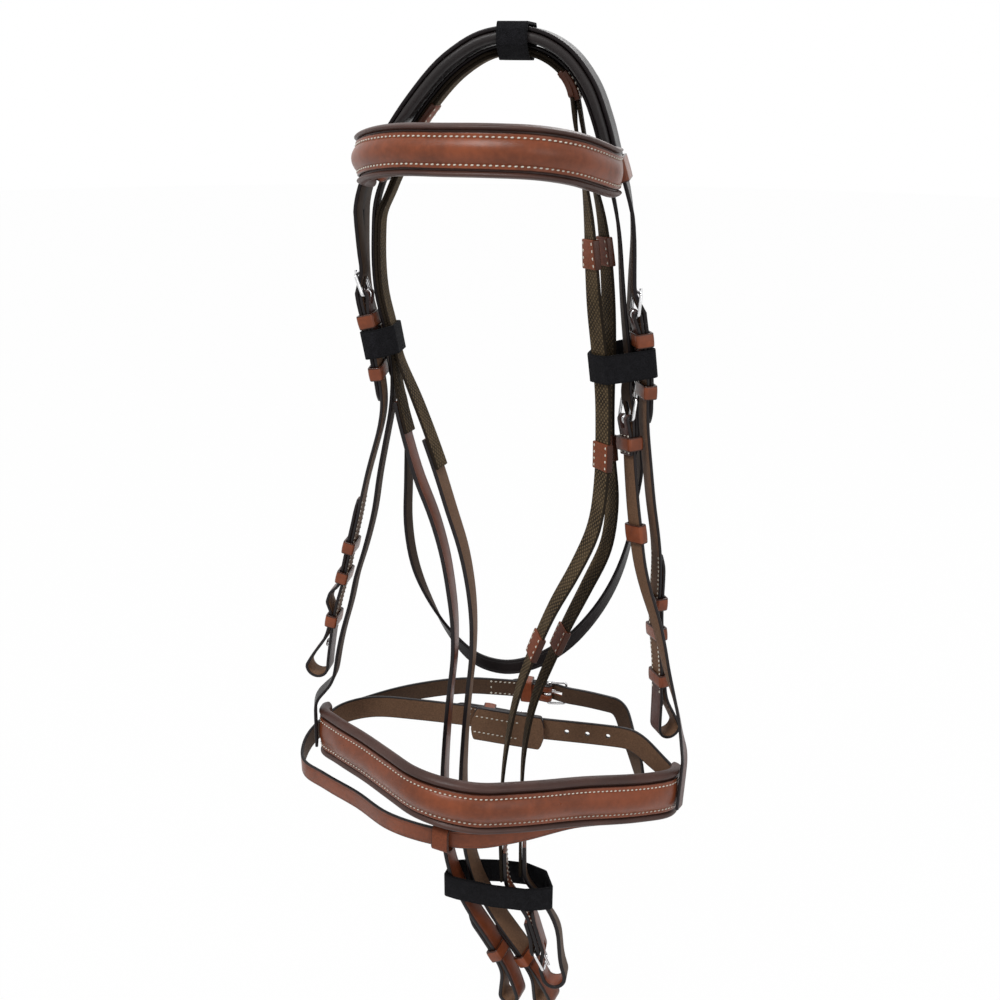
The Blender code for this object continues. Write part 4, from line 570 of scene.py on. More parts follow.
def padding(name, face):
    """Soft lining leather: finer wrinkles, painted shade in their pits, no burnished edge."""
    shade = Shade(name)
    cloud = shade.noise(30.0, 3.0)
    wrinkle_and_shade = shade.cells(520.0)
    grain = shade.cells(2600.0)
    colour = shade.blend(cloud.step(0.25, 0.75), scaled(face, 0.75), scaled(face, 1.35))
    # Painted shade: darker in the pits of the wrinkles, where the bump is lowest
    colour = shade.blend(wrinkle_and_shade.step(0.12, 0.0) * 0.4, colour, scaled(face, 0.5))
    roughness = shade.noise(80.0, 3.0) * 0.15 + 0.34
    height = grain * 0.5 + wrinkle_and_shade.step(0.0, 0.5) * 0.6
    return shade.finish(colour, roughness, height, 0.00018, 0.6, shine=0.32)


def woven(name, dark, light, pitch):
    """Rein web: a close basket weave of thick yarns in painted light and shade, with a plain
    selvedge.
    """
    shade = Shade(name)
    run, side, rim, across = shade.along()
    turn = math.pi / pitch
    warp = (across * turn).wave()
    weft = (run * turn).wave()
    over = (warp * weft).step(-0.35, 0.35)
    yarn = warp.size().least(weft.size()).step(0.0, 0.7)
    fuzz = shade.noise(2400.0, 3.0, 0.7)
    # Painted light and shade: the raised checks of the weave get the light yarn colour, the sunk
    # checks the dark one
    colour = shade.blend(over, dark, light)
    # Painted shade in the gaps between the yarns, where the bump is lowest
    colour = shade.blend((1.0 - yarn) * 0.75, colour, scaled(dark, 0.35))
    colour = shade.blend(shade.noise(60.0, 3.0).step(0.3, 0.75) * 0.35, colour, scaled(light, 1.4))
    selvedge = rim.step(0.0011, 0.0005)
    colour = shade.blend(selvedge, colour, scaled(dark, 0.8))
    height = over * 0.5 + yarn * 0.8 + fuzz * 0.35
    return shade.finish(colour, fuzz * 0.15 + 0.78, height, 0.0004, 0.9, shine=0.15)


def hook_and_loop(name, colour):
    """Black hook-and-loop tape: a nap of tiny loops, their tops painted light and the hollows
    between them painted shade, with a bound edge.
    """
    shade = Shade(name)
    run, side, rim, _ = shade.along()
    nap = shade.cells(1900.0)
    fuzz = shade.noise(3600.0, 4.0, 0.75)
    clump = shade.noise(240.0, 3.0)
    # Painted light and shade: loop tops, where the bump is highest, lighter; the hollows between
    # them darker
    tone = shade.blend(nap.step(0.1, 0.6), scaled(colour, 2.6), scaled(colour, 0.6))
    tone = shade.blend(clump.step(0.45, 0.8) * 0.5, tone, scaled(colour, 2.2))
    rib = (run * (math.pi / 0.0012)).wave() * rim.step(0.0016, 0.0008)
    tone = shade.blend(rim.step(0.0016, 0.001), tone, scaled(colour, 0.8))
    height = (1.0 - nap) * 0.8 + fuzz * 0.6 + rib * 0.5
    return shade.finish(tone, fuzz * 0.1 + 0.85, height, 0.0005, 0.9, shine=0.12)


def plated(name, colour):
    """Nickel-plated wire, with faint draw marks and a few duller spots."""
    shade = Shade(name)
    spots = shade.noise(420.0, 4.0, 0.7)
    marks = shade.noise(3000.0, 2.0)
    tone = shade.blend(spots.step(0.45, 0.75), colour, scaled(colour, 0.72))
    roughness = spots.step(0.4, 0.8) * 0.14 + marks * 0.08 + 0.13
    return shade.finish(tone, roughness, marks, 0.00003, 0.25, metallic=1.0)


def thread(name, colour):
    """Waxed stitching thread."""
    shade = Shade(name)
    twist = shade.noise(4200.0, 2.0)
    tone = shade.blend(twist.step(0.3, 0.7), scaled(colour, 0.70), colour)
    return shade.finish(tone, twist * 0.2 + 0.55, twist, 0.0001, 0.5)


def shown_bright(name, colour):
    """Floor: pale, and near white to the eye, in metal and through glass, with soft shadows."""
    shade = Shade(name)
    tone = shade.blend(shade.noise(40.0, 3.0), scaled(colour, 0.98), colour)
    floor = shade.node("BsdfDiffuse", {}, {"Color": tone})
    glow = shade.node("Emission", {}, {"Color": WHITE, "Strength": 1.0})
    return shade.closed(shade.node("MixShader", {}, {0: shade.seen() * FLOOR_GLOW, 1: floor,
                                                     2: glow}))


FINISHES = {}
ROOT = "bridle"
EDGE_DYE = (0.008, 0.0055, 0.006)
LINING_COLOUR = (0.055, 0.024, 0.018)
TIE_COLOUR = (0.0085, 0.0083, 0.0098)
STEEL_COLOUR = (0.74, 0.74, 0.75)


def make_finishes(looks):
    """Every material of the bridle, from the colours in the panel."""
    black, dark, rust, flesh, web_dark, web_light, pale = (
        tuple(getattr(looks, name)) for name in
        ("black", "dark", "rust", "flesh", "web_dark", "web_light", "thread"))
    FINISHES.update({
        "black_leather": leather("black_bridle_leather", black, scaled(EDGE_DYE, 1.1),
                                 scaled(flesh, 0.30), 0.38, shine=0.17),
        "dark_leather": leather("dark_bridle_leather", dark, scaled(EDGE_DYE, 1.3), flesh, 0.40,
                                shine=0.24),
        "rust_leather": leather("rust_bridle_leather", rust, EDGE_DYE, scaled(flesh, 0.45), 0.36,
                                shine=0.26),
        "rein_leather": leather("rust_rein_leather", scaled(rust, 0.8), EDGE_DYE, flesh, 0.36,
                                shine=0.26),
        "keeper_leather": leather("rust_keeper_leather", scaled(rust, 1.1), scaled(rust, 0.22),
                                  scaled(rust, 0.4), 0.32, crease=False, shine=0.30),
        "stop_leather": leather("rust_stop_leather", rust, scaled(rust, 0.25), scaled(rust, 0.9),
                                0.34, crease=False, shine=0.26),
        "strip_leather": leather("rust_strip_leather", rust, scaled(rust, 0.25),
                                 scaled(rust, 0.5), 0.31, crease=False, shine=0.30),
        "padding": padding("dark_padding_leather", LINING_COLOUR),
        "pad_black": padding("black_padding_leather", black),
        "web": woven("brown_rein_web", web_dark, web_light, looks.weave_pitch),
        "tie": hook_and_loop("black_hook_and_loop", TIE_COLOUR),
        "steel": plated("plated_steel", STEEL_COLOUR),
        "thread": thread("pale_thread", pale),
    })


class Place:
    """A spot on a strap's line: the way the strap runs, the way across it and its outer face."""

    def __init__(self, spot, along, out):
        self.spot = spot
        self.along = along.normalized()
        self.out = (out - self.along * out.dot(self.along)).normalized()
        self.across = self.out.cross(self.along)

    def point(self, across, height):
        return self.spot + self.across * across + self.out * height

    def moved(self, across, height):
        return Place(self.point(across, height), self.along, self.out)

    def matrix(self):
        """Local X runs along the strap, Y across it and Z out of its face."""
        turn = Matrix((self.along, self.across, self.out)).transposed()
        return Matrix.Translation(self.spot) @ turn.to_4x4()


class Lay:
    """The line that a strap is laid along: its places, and how far along each one is."""

    def __init__(self, places):
        self.places = places
        self.marks = [0.0]
        for before, after in zip(places, places[1:]):
            self.marks.append(self.marks[-1] + (after.spot - before.spot).length)

    @property
    def length(self):
        return self.marks[-1]

    def at(self, run):
        """The place at a distance along, between its neighbours or straight on past an end."""
        index = min(max(bisect.bisect_left(self.marks, run) - 1, 0), len(self.marks) - 2)
        one, two = self.places[index], self.places[index + 1]
        share = (run - self.marks[index]) / (self.marks[index + 1] - self.marks[index])
        near = min(max(share, 0.0), 1.0)
        return Place(one.spot.lerp(two.spot, share), one.along.lerp(two.along, near),
                     one.out.lerp(two.out, near))

    def between(self, start, end):
        """The stretch from one distance to another, with the marks that lie inside it."""
        inside = [mark for mark in self.marks if start + LAYER_GAP < mark < end - LAYER_GAP]
        return Lay([self.at(run) for run in [start] + inside + [end]])

    def lifted(self, height, across=0.0):
        return Lay([place.moved(across, height) for place in self.places])

    def turned_back(self):
        return Lay([Place(place.spot, -place.along, place.out) for place in reversed(self.places)])

    def turned_over(self):
        return Lay([Place(place.spot, place.along, -place.out) for place in self.places])

    def nearest(self, spot, after=0.0):
        """The distance along, past a given one, at which the line comes closest to a spot."""
        steps = max(int((self.length - after) / SCAN_STEP), 1)
        runs = [after + (self.length - after) * k / steps for k in range(steps + 1)]
        best = min(runs, key=lambda run: (self.at(run).spot - spot).length)
        place = self.at(best)
        return best + (spot - place.spot).dot(place.along)

    def run_at_drop(self, share):
        """The last distance along at which the line, going down, has dropped by a share."""
        level = level_of(share)
        for i in range(len(self.places) - 2, -1, -1):
            one, two = self.places[i].spot.z, self.places[i + 1].spot.z
            if two <= level <= one and one > two:
                step = self.marks[i + 1] - self.marks[i]
                return self.marks[i] + (one - level) / (one - two) * step
        end = self.places[-1]
        return self.length + (end.spot.z - level) / max(-end.along.z, MERGE)


def level_of(drop_share):
    return SEAT_LIFT - drop_share * HANG_DROP


def place_of(row):
    """A row of a table of places as a spot and the way the strap's outer face looks there."""
    across, forward, down = (value / 1000 for value in row[:3])
    turn = math.radians(row[3])
    return (Vector((across * HEAD_WIDTH, forward * HEAD_REACH, level_of(down))),
            Vector((math.cos(turn), math.sin(turn), 0.0)))


def smooth(spots, faces):
    """Fine places on a smooth curve through the spots, its face turning evenly between them."""
    steps = [(after - before).length for before, after in zip(spots, spots[1:])]
    slopes = []
    for i in range(len(spots)):
        if i == 0:
            slopes.append((spots[1] - spots[0]) / steps[0])
        elif i == len(spots) - 1:
            slopes.append((spots[-1] - spots[-2]) / steps[-1])
        else:
            before = (spots[i] - spots[i - 1]) / steps[i - 1]
            after = (spots[i + 1] - spots[i]) / steps[i]
            slopes.append((before * steps[i] + after * steps[i - 1]) / (steps[i - 1] + steps[i]))
    fine = []
    for i, step in enumerate(steps):
        last = i == len(steps) - 1
        for k in range(FINE_STEPS + last):
            t = k / FINE_STEPS
            rise = t * t * (3 - 2 * t)
            spot = spots[i] * (1 - rise) + spots[i + 1] * rise
            spot += slopes[i] * step * t * (1 - t) ** 2 + slopes[i + 1] * step * t * t * (t - 1)
            fine.append((spot, faces[i].lerp(faces[i + 1], t)))
    places = []
    for k, (spot, face) in enumerate(fine):
        along = fine[min(k + 1, len(fine) - 1)][0] - fine[max(k - 1, 0)][0]
        places.append(Place(spot, along, face))
    return places


def thinned(places):
    """Only the places at which the strap has turned, twisted or run far enough for a section."""
    kept = [places[0]]
    run = turn = 0.0
    for before, after in zip(places, places[1:]):
        run += (after.spot - before.spot).length
        turn += before.along.angle(after.along, 0.0) + before.out.angle(after.out, 0.0) / 2
        if run > RUN_STEP or turn > TURN_STEP:
            kept.append(after)
            run = turn = 0.0
    if len(kept) > 1 and (kept[-1].spot - places[-1].spot).length < LAYER_GAP * 4:
        kept.pop()
    if kept[-1] is not places[-1]:
        kept.append(places[-1])
    return kept


def free_lay(shares):
    spots, faces = zip(*[place_of(row) for row in shares])
    return Lay(thinned(smooth(spots, faces)))


def carried_on(lay, shares, ending=None):
    """A lay that runs on smoothly through a table of places, and into another lay's places."""
    rows = [place_of(row) for row in shares]
    lead = lay.at(lay.length - BAND_LEAD)
    spots = [lead.spot, lay.places[-1].spot] + [spot for spot, _ in rows]
    faces = [lead.out, lay.places[-1].out] + [face for _, face in rows]
    if ending:
        after = ending.at(BAND_LEAD)
        spots += [ending.places[0].spot, after.spot]
        faces += [ending.places[0].out, after.out]
    fine = smooth(spots, faces)[FINE_STEPS:]
    if not ending:
        return Lay(lay.places[:-1] + thinned(fine))
    return Lay(lay.places[:-1] + thinned(fine[:-FINE_STEPS])[:-1] + ending.places)


def arch_lay():
    """The line over the poll that the crown, headstrap and webs share, from off to near side."""
    spots = [place_of((across, 0, down, 0))[0] for across, down, _ in ARCH_PLACES]
    faces = []
    for i, row in enumerate(ARCH_PLACES):
        along = spots[min(i + 1, len(spots) - 1)] - spots[max(i - 1, 0)]
        out = Vector((-along.z, 0.0, along.x)).normalized()
        faces.append(Matrix.Rotation(math.radians(row[2]), 3, "Z") @ out)
    return Lay(thinned(smooth(spots, faces)))


def off_run(arch, drop_share):
    """The distance along the arch at which its off side has dropped by a share."""
    return arch.length - arch.turned_back().run_at_drop(drop_share)


def near_run(arch, drop_share):
    return arch.run_at_drop(drop_share)


def threaded(base, steps, face=1):
    """A lay that follows a base line at set heights: steps of distance along, height and, where
    it isn't 0, the shift across. It may turn back on itself, as a folded or looped end does.
    Face is -1 where the strap runs against its base line and its outer face is still outside."""
    rows = [(step[0], step[1], step[2] if len(step) > 2 else 0.0) for step in steps]
    full = [rows[0]]
    for before, after in zip(rows, rows[1:]):
        low, high = sorted((before[0], after[0]))
        clear = LAYER_GAP * 4
        inside = [mark for mark in base.marks if low + clear < mark < high - clear]
        for mark in sorted(inside, reverse=after[0] < before[0]):
            share = (mark - before[0]) / (after[0] - before[0])
            height = before[1] + share * (after[1] - before[1])
            across = before[2] + share * (after[2] - before[2])
            full.append((mark, height, across))
        full.append(after)
    spots = []
    sides = []
    for run, height, across in full:
        place = base.at(run)
        spots.append(place.point(across, height))
        sides.append(place.across)
    places = []
    for i, spot in enumerate(spots):
        before = (spot - spots[i - 1]).normalized() if i else (spots[1] - spot).normalized()
        after = (spots[i + 1] - spot).normalized() if i < len(spots) - 1 else before
        along = before + after
        places.append(Place(spot, along, along.cross(sides[i]) * face))
    return Lay(places)


def arc(centre, radius, start, end, steps):
    """Points on an arc, its angles in degrees."""
    angles = [math.radians(start + (end - start) * k / steps) for k in range(steps + 1)]
    return [(centre[0] + radius * math.cos(a), centre[1] + radius * math.sin(a)) for a in angles]


def rounded_box(low, high, corner, steps=2):
    """The outline of a box from its low to its high corner, its own corners rounded."""
    (x0, y0), (x1, y1) = low, high
    points = arc((x1 - corner, y1 - corner), corner, 0, 90, steps)
    points += arc((x0 + corner, y1 - corner), corner, 90, 180, steps)
    points += arc((x0 + corner, y0 + corner), corner, 180, 270, steps)
    points += arc((x1 - corner, y0 + corner), corner, 270, 360, steps)
    return points


def bundle_points(place, straps, reach):
    """Where the edges of the straps that pass a place lie, across and out from it."""
    points = []
    for lay, width, thick in straps:
        steps = int(lay.length / SCAN_STEP)
        for k in range(steps + 1):
            near = lay.at(lay.length * k / steps)
            for side, face in ((-1, -1), (-1, 1), (1, -1), (1, 1)):
                corner = near.point(side * width / 2, face * thick / 2) - place.spot
                if abs(corner.dot(place.along)) < reach and corner.length < BUNDLE_REACH:
                    points.append((corner.dot(place.across), corner.dot(place.out)))
    return points


def tight_outline(points, clear, floor=None):
    """The outline of a band that is pulled round some points, and stays clear of them. It has a
    side for each of a few directions, from the innermost one (the floor) round."""
    sides = []
    for k in range(BAND_SIDES):
        turn = math.tau * k / BAND_SIDES - math.pi / 2
        way = math.cos(turn), math.sin(turn)
        sides.append((*way, max(x * way[0] + y * way[1] for x, y in points) + clear))
    if floor is not None:
        sides[0] = (0.0, -1.0, clear - TIE_PLAY - floor)
    outline = []
    for k, (x1, y1, far1) in enumerate(sides):
        x2, y2, far2 = sides[k - 1]
        size = x1 * y2 - x2 * y1
        outline.append(((far1 * y2 - far2 * y1) / size, (x1 * far2 - x2 * far1) / size))
    return outline


def tip_share(run, length, start_tip, end_tip):
    """How much of its width a strap keeps where its end is cut to a blunt point."""
    share = 1.0
    for tip, left in ((start_tip, run), (end_tip, length - run)):
        if tip > 0 and left < tip:
            share = min(share, 1.0 - TIP_CUT * (1.0 - left / tip) ** 2)
    return share


def marks_of(lay, start_tip=0.0, end_tip=0.0, wanted=()):
    """The distances at which a strap gets a section: its lay's, its tips' and those it wants."""
    needed = list(wanted)
    for tip, start, sense in ((start_tip, 0.0, 1), (end_tip, lay.length, -1)):
        if tip > 0:
            needed += [start + sense * tip * share for share in TIP_MARKS]
    needed = [run for run in needed if LAYER_GAP < run < lay.length - LAYER_GAP]
    marks = [0.0, lay.length] + needed
    for mark in lay.marks:
        if all(abs(mark - run) > LAYER_GAP * 4 for run in marks):
            marks.append(mark)
    return sorted(marks)


def linked(name, data):
    """A new object in the scene."""
    obj = bpy.data.objects.new(name, data)
    bpy.context.scene.collection.objects.link(obj)
    return obj


def baked(mesh, name):
    """A finished bmesh as a mesh."""
    made = bpy.data.meshes.new(name)
    mesh.to_mesh(made)
    mesh.free()
    return made


def evaluated(obj):
    """The mesh of an object as its curve or modifiers make it."""
    depsgraph = bpy.context.evaluated_depsgraph_get()
    return bpy.data.meshes.new_from_object(obj.evaluated_get(depsgraph))


def body_of(name):
    """The frame's body that a piece rides on: its own where it moves."""
    own = name + "_body"
    return own if own in frame["bodies"] else ROOT


def add_part(name, mesh, finish, node=None, stands=True):
    """A finished piece of the bridle, which stands for the frame's node of the same name."""
    node = node or name
    obj = linked("look_" + name, mesh)
    mesh.materials.clear()
    mesh.materials.append(FINISHES[finish])
    mesh.shade_smooth()
    mesh.set_sharp_from_angle(angle=SHARP_ANGLE)
    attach(obj, body_of(node))
    if stands:
        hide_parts(node)
    return obj


def face_out(mesh):
    """Turn every face of a closed mesh outwards."""
    bmesh.ops.recalc_face_normals(mesh, faces=mesh.faces)
    if mesh.calc_volume(signed=True) < 0:
        bmesh.ops.reverse_faces(mesh, faces=mesh.faces)


def rounded(mesh, edges, size):
    bmesh.ops.bevel(mesh, geom=edges, offset=size, segments=3, profile=0.5, affect="EDGES",
                    clamp_overlap=False)


def eased(lay, rounds=EASE_ROUNDS):
    """The same line with its corners rounded, as a bent strap has them, more so in its long
    runs than where it is folded."""
    count = max(int(lay.length / EASE_STEP), 2)
    places = [lay.at(lay.length * k / count) for k in range(count + 1)]
    spots = [place.spot for place in places]
    outs = [place.out for place in places]
    folded = set()
    for k in range(EASE_REACH, count - EASE_REACH + 1):
        before, after = spots[k] - spots[k - EASE_REACH], spots[k + EASE_REACH] - spots[k]
        if before.angle(after, 0.0) > EASE_FOLD:
            folded.update(range(k - 2 * EASE_REACH, k + 2 * EASE_REACH + 1))
    for turn in range(rounds):
        moving = [k for k in range(1, count) if turn < EASE_ROUNDS_FOLDED or k not in folded]
        near = [(spots[k - 1] + spots[k] * 2 + spots[k + 1]) / 4 for k in moving]
        faces = [(outs[k - 1] + outs[k] * 2 + outs[k + 1]) / 4 for k in moving]
        for k, spot, out in zip(moving, near, faces):
            spots[k], outs[k] = spot, out
    made = []
    for k, (spot, out) in enumerate(zip(spots, outs)):
        along = spots[min(k + 1, count)] - spots[max(k - 1, 0)]
        made.append(Place(spot, along, out))
    return Lay(thinned(made))


def strip_mesh(rows, columns, is_open=None, soft=0.0):
    """A flat grid cut to shape, then thickened and bent. A row has a place, a half width and a
    distance along for each line that the strip follows. A column has the number of its line, a
    share of the half width, and its low and high face at a distance along. The UV map lay holds
    the distance along and the side, and rim the distances to the two edges."""
    mesh = bmesh.new()
    last_row, last_column = len(rows) - 1, len(columns) - 1
    bmesh.ops.create_grid(mesh, x_segments=last_row, y_segments=last_column, size=1.0)
    for vert in mesh.verts:
        vert.co.x = round((vert.co.x + 1.0) / 2.0 * last_row)
        vert.co.y = round((vert.co.y + 1.0) / 2.0 * last_column)
    if is_open:
        centres = [(face, face.calc_center_median()) for face in mesh.faces]
        gone = [face for face, centre in centres if is_open(int(centre.x), int(centre.y))]
        bmesh.ops.delete(mesh, geom=gone, context="FACES")
    raised = bmesh.ops.extrude_face_region(mesh, geom=mesh.faces[:])
    for item in raised["geom"]:
        if isinstance(item, bmesh.types.BMVert):
            item.co.z = 1.0
    lay_map, rim_map = mesh.loops.layers.uv.new("lay"), mesh.loops.layers.uv.new("rim")
    spots = {}
    for vert in mesh.verts:
        line, share, low, high = columns[int(round(vert.co.y))]
        place, half, run = rows[int(round(vert.co.x))][line]
        top = vert.co.z > 0.5
        spots[vert] = (run, 1.0 if top else -1.0), (half * (1 + share), half * (1 - share)), \
            place.point(share * half, high(run) if top else low(run))
    for face in mesh.faces:
        for loop in face.loops:
            loop[lay_map].uv, loop[rim_map].uv = spots[loop.vert][:2]
    for vert, (_, _, spot) in spots.items():
        vert.co = spot
    face_out(mesh)
    if soft > 0.0:
        rounded(mesh, [edge for edge in mesh.edges if edge.is_manifold
                       and edge.calc_face_angle(0.0) > STRAP_CORNER], soft)
    return baked(mesh, "strip")


def always(height):
    """A height that is the same at every distance along."""
    return lambda run: height


def strap(name, lay, width, thick, finish, start_tip=0.0, end_tip=0.0, slots=(), node=None,
          stands=True, turned_from=None):
    """A strap of even section with rounded edges, its lay along its middle. A slot is a stretch,
    between two distances along, that is cut out down the middle. From where it is turned its
    face and its flesh side change places."""
    drawn = lay.length
    lay = eased(lay)
    ratio = lay.length / drawn
    slots = [(start * ratio, end * ratio) for start, end in slots]
    marks = marks_of(lay, start_tip, end_tip, sorted({edge for slot in slots for edge in slot}))
    rows = [[(lay.at(run), width / 2 * tip_share(run, lay.length, start_tip, end_tip), run)]
            for run in marks]
    half_slot = TONGUE_SLOT / width
    shares = (-1.0, -half_slot, half_slot, 1.0) if slots else (-1.0, 1.0)

    def is_open(row, cell):
        middle = (marks[row] + marks[row + 1]) / 2
        return cell == 1 and any(start < middle < end for start, end in slots)

    columns = [(0, share, always(-thick / 2), always(thick / 2)) for share in shares]
    mesh = strip_mesh(rows, columns, is_open if slots else None,
                      min(thick * EDGE_SHARE, EDGE_MOST))
    if turned_from is not None:
        for corner in mesh.uv_layers["lay"].data:
            if corner.uv[0] > turned_from * ratio:
                corner.uv[1] = -corner.uv[1]
    return add_part(name, mesh, finish, node, stands)


def wire_mesh(points, radius, closed=False):
    """Round wire bent through some points."""
    data = bpy.data.curves.new("wire", "CURVE")
    data.dimensions = "3D"
    spline = data.splines.new("POLY")
    spline.points.add(len(points) - 1)
    for point, co in zip(spline.points, points):
        point.co = (*co, 1.0)
    spline.use_cyclic_u = closed
    data.bevel_depth = radius
    data.bevel_resolution = 4
    data.use_fill_caps = not closed
    curve = linked("wire", data)
    made = evaluated(curve)
    bpy.data.objects.remove(curve, do_unlink=True)
    mesh = bmesh.new()
    mesh.from_mesh(made)
    bmesh.ops.remove_doubles(mesh, verts=mesh.verts, dist=MERGE)
    face_out(mesh)
    return baked(mesh, "wire")


def ring_mesh(outer, inner, length, bulge):
    """A band between two outlines with as many points each, as long as it is asked, its rims
    rounded and its middle standing out a little."""
    mesh = bmesh.new()
    lay_map, rim_map = mesh.loops.layers.uv.new("lay"), mesh.loops.layers.uv.new("rim")
    steps = 6
    levels = [-length / 2 + length * k / steps for k in range(steps + 1)]
    count = len(outer)
    centre = [sum(values) / count for values in zip(*outer)]
    shells = []
    for outline, swell in ((outer, bulge), (inner, 0.0)):
        shell = []
        for level in levels:
            grow = swell * (1.0 - (2.0 * level / length) ** 2)
            row = []
            for x, y in outline:
                away = Vector((x - centre[0], y - centre[1], 0.0))
                spot = Vector((x, y, level)) + away.normalized() * grow
                row.append(mesh.verts.new(spot))
            shell.append(row)
        shells.append(shell)
    runs = [0.0]
    for k in range(count):
        (x0, y0), (x1, y1) = outer[k], outer[(k + 1) % count]
        runs.append(runs[-1] + math.hypot(x1 - x0, y1 - y0))

    def quad(corners):
        face = mesh.faces.new([vert for vert, _, _ in corners])
        for loop, (vert, run, side) in zip(face.loops, corners):
            loop[lay_map].uv = run, side
            loop[rim_map].uv = vert.co.z + length / 2, length / 2 - vert.co.z

    for shell, side in zip(shells, (1.0, -1.0)):
        for k in range(steps):
            for i in range(count):
                j = (i + 1) % count
                quad([(shell[k][i], runs[i], side), (shell[k][j], runs[i + 1], side),
                      (shell[k + 1][j], runs[i + 1], side), (shell[k + 1][i], runs[i], side)])
    for k in (0, steps):
        for i in range(count):
            j = (i + 1) % count
            quad([(shells[0][k][i], runs[i], 1.0), (shells[0][k][j], runs[i + 1], 1.0),
                  (shells[1][k][j], runs[i + 1], -1.0), (shells[1][k][i], runs[i], -1.0)])
    face_out(mesh)
    rounded(mesh, [edge for edge in mesh.edges if edge.calc_face_angle(0.0) > RIM_CORNER
                   and all(abs(abs(vert.co.z) - length / 2) < MERGE for vert in edge.verts)],
            BAND_RIM)
    return baked(mesh, "band")


def band_round(name, place, outer, inner, length, finish, bulge=0.0):
    mesh = ring_mesh(outer, inner, length, bulge)
    turn = Matrix((place.across, place.out, place.along)).transposed().to_4x4()
    mesh.transform(Matrix.Translation(place.spot) @ turn)
    add_part(name, mesh, finish)


def keeper(name, place, straps, slide=0.0, length=KEEPER_LENGTH, wall=KEEPER_WALL):
    """A flat leather loop round the straps that pass a place, clear of them where it slides."""
    points = bundle_points(place, straps, length / 2 + slide + SCAN_STEP)
    low = [min(values) - KEEPER_PLAY for values in zip(*points)]
    high = [max(values) + KEEPER_PLAY for values in zip(*points)]
    inner = rounded_box(low, high, KEEPER_CORNER - wall, 6)
    outer = rounded_box([value - wall for value in low], [value + wall for value in high],
                        KEEPER_CORNER, 6)
    band_round(name, place, outer, inner, length, "keeper_leather", KEEPER_BULGE)


def tie(name, place, straps, floor=None):
    """A band of hook-and-loop tape, pulled round the straps that pass a place."""
    points = bundle_points(place, straps, TIE_WIDTH / 2 + SCAN_STEP)
    outer, inner = (tight_outline(points, clear, floor)
                    for clear in (TIE_PLAY + TIE_WALL, TIE_PLAY))
    band_round(name, place, outer, inner, TIE_WIDTH, "tie")


SEAMS = []


def sew(lay, across, height, start=0.0, end=None):
    """Note a row of stitches along a lay, at a shift across and a height, for the stitcher."""
    end = lay.length if end is None else end
    count = max(int((end - start) / SCAN_STEP), 2)
    places = [lay.at(start + (end - start) * k / count) for k in range(count + 1)]
    sense = 1 if height >= 0 else -1
    SEAMS.append([(place.point(across, height), place.out * sense) for place in places])


def sew_across(lay, run, half, height):
    place = lay.at(run)
    out = place.out * (1 if height >= 0 else -1)
    shares = (-1.0, -0.5, 0.0, 0.5, 1.0)
    SEAMS.append([(place.point(half * share, height), out) for share in shares])


def sew_strap(lay, width, thick, faces=(1,), closed=False):
    """Rows of stitches along both edges of a strap, joined across at its ends if closed."""
    lay = eased(lay)
    edge = width / 2 - SEW_INSET
    for face in faces:
        height = face * (thick / 2 + SEW_LIFT)
        for side in (-1, 1):
            sew(lay, side * edge, height)
        for run in (0.0, lay.length) if closed else ():
            sew_across(lay, run, edge, height)


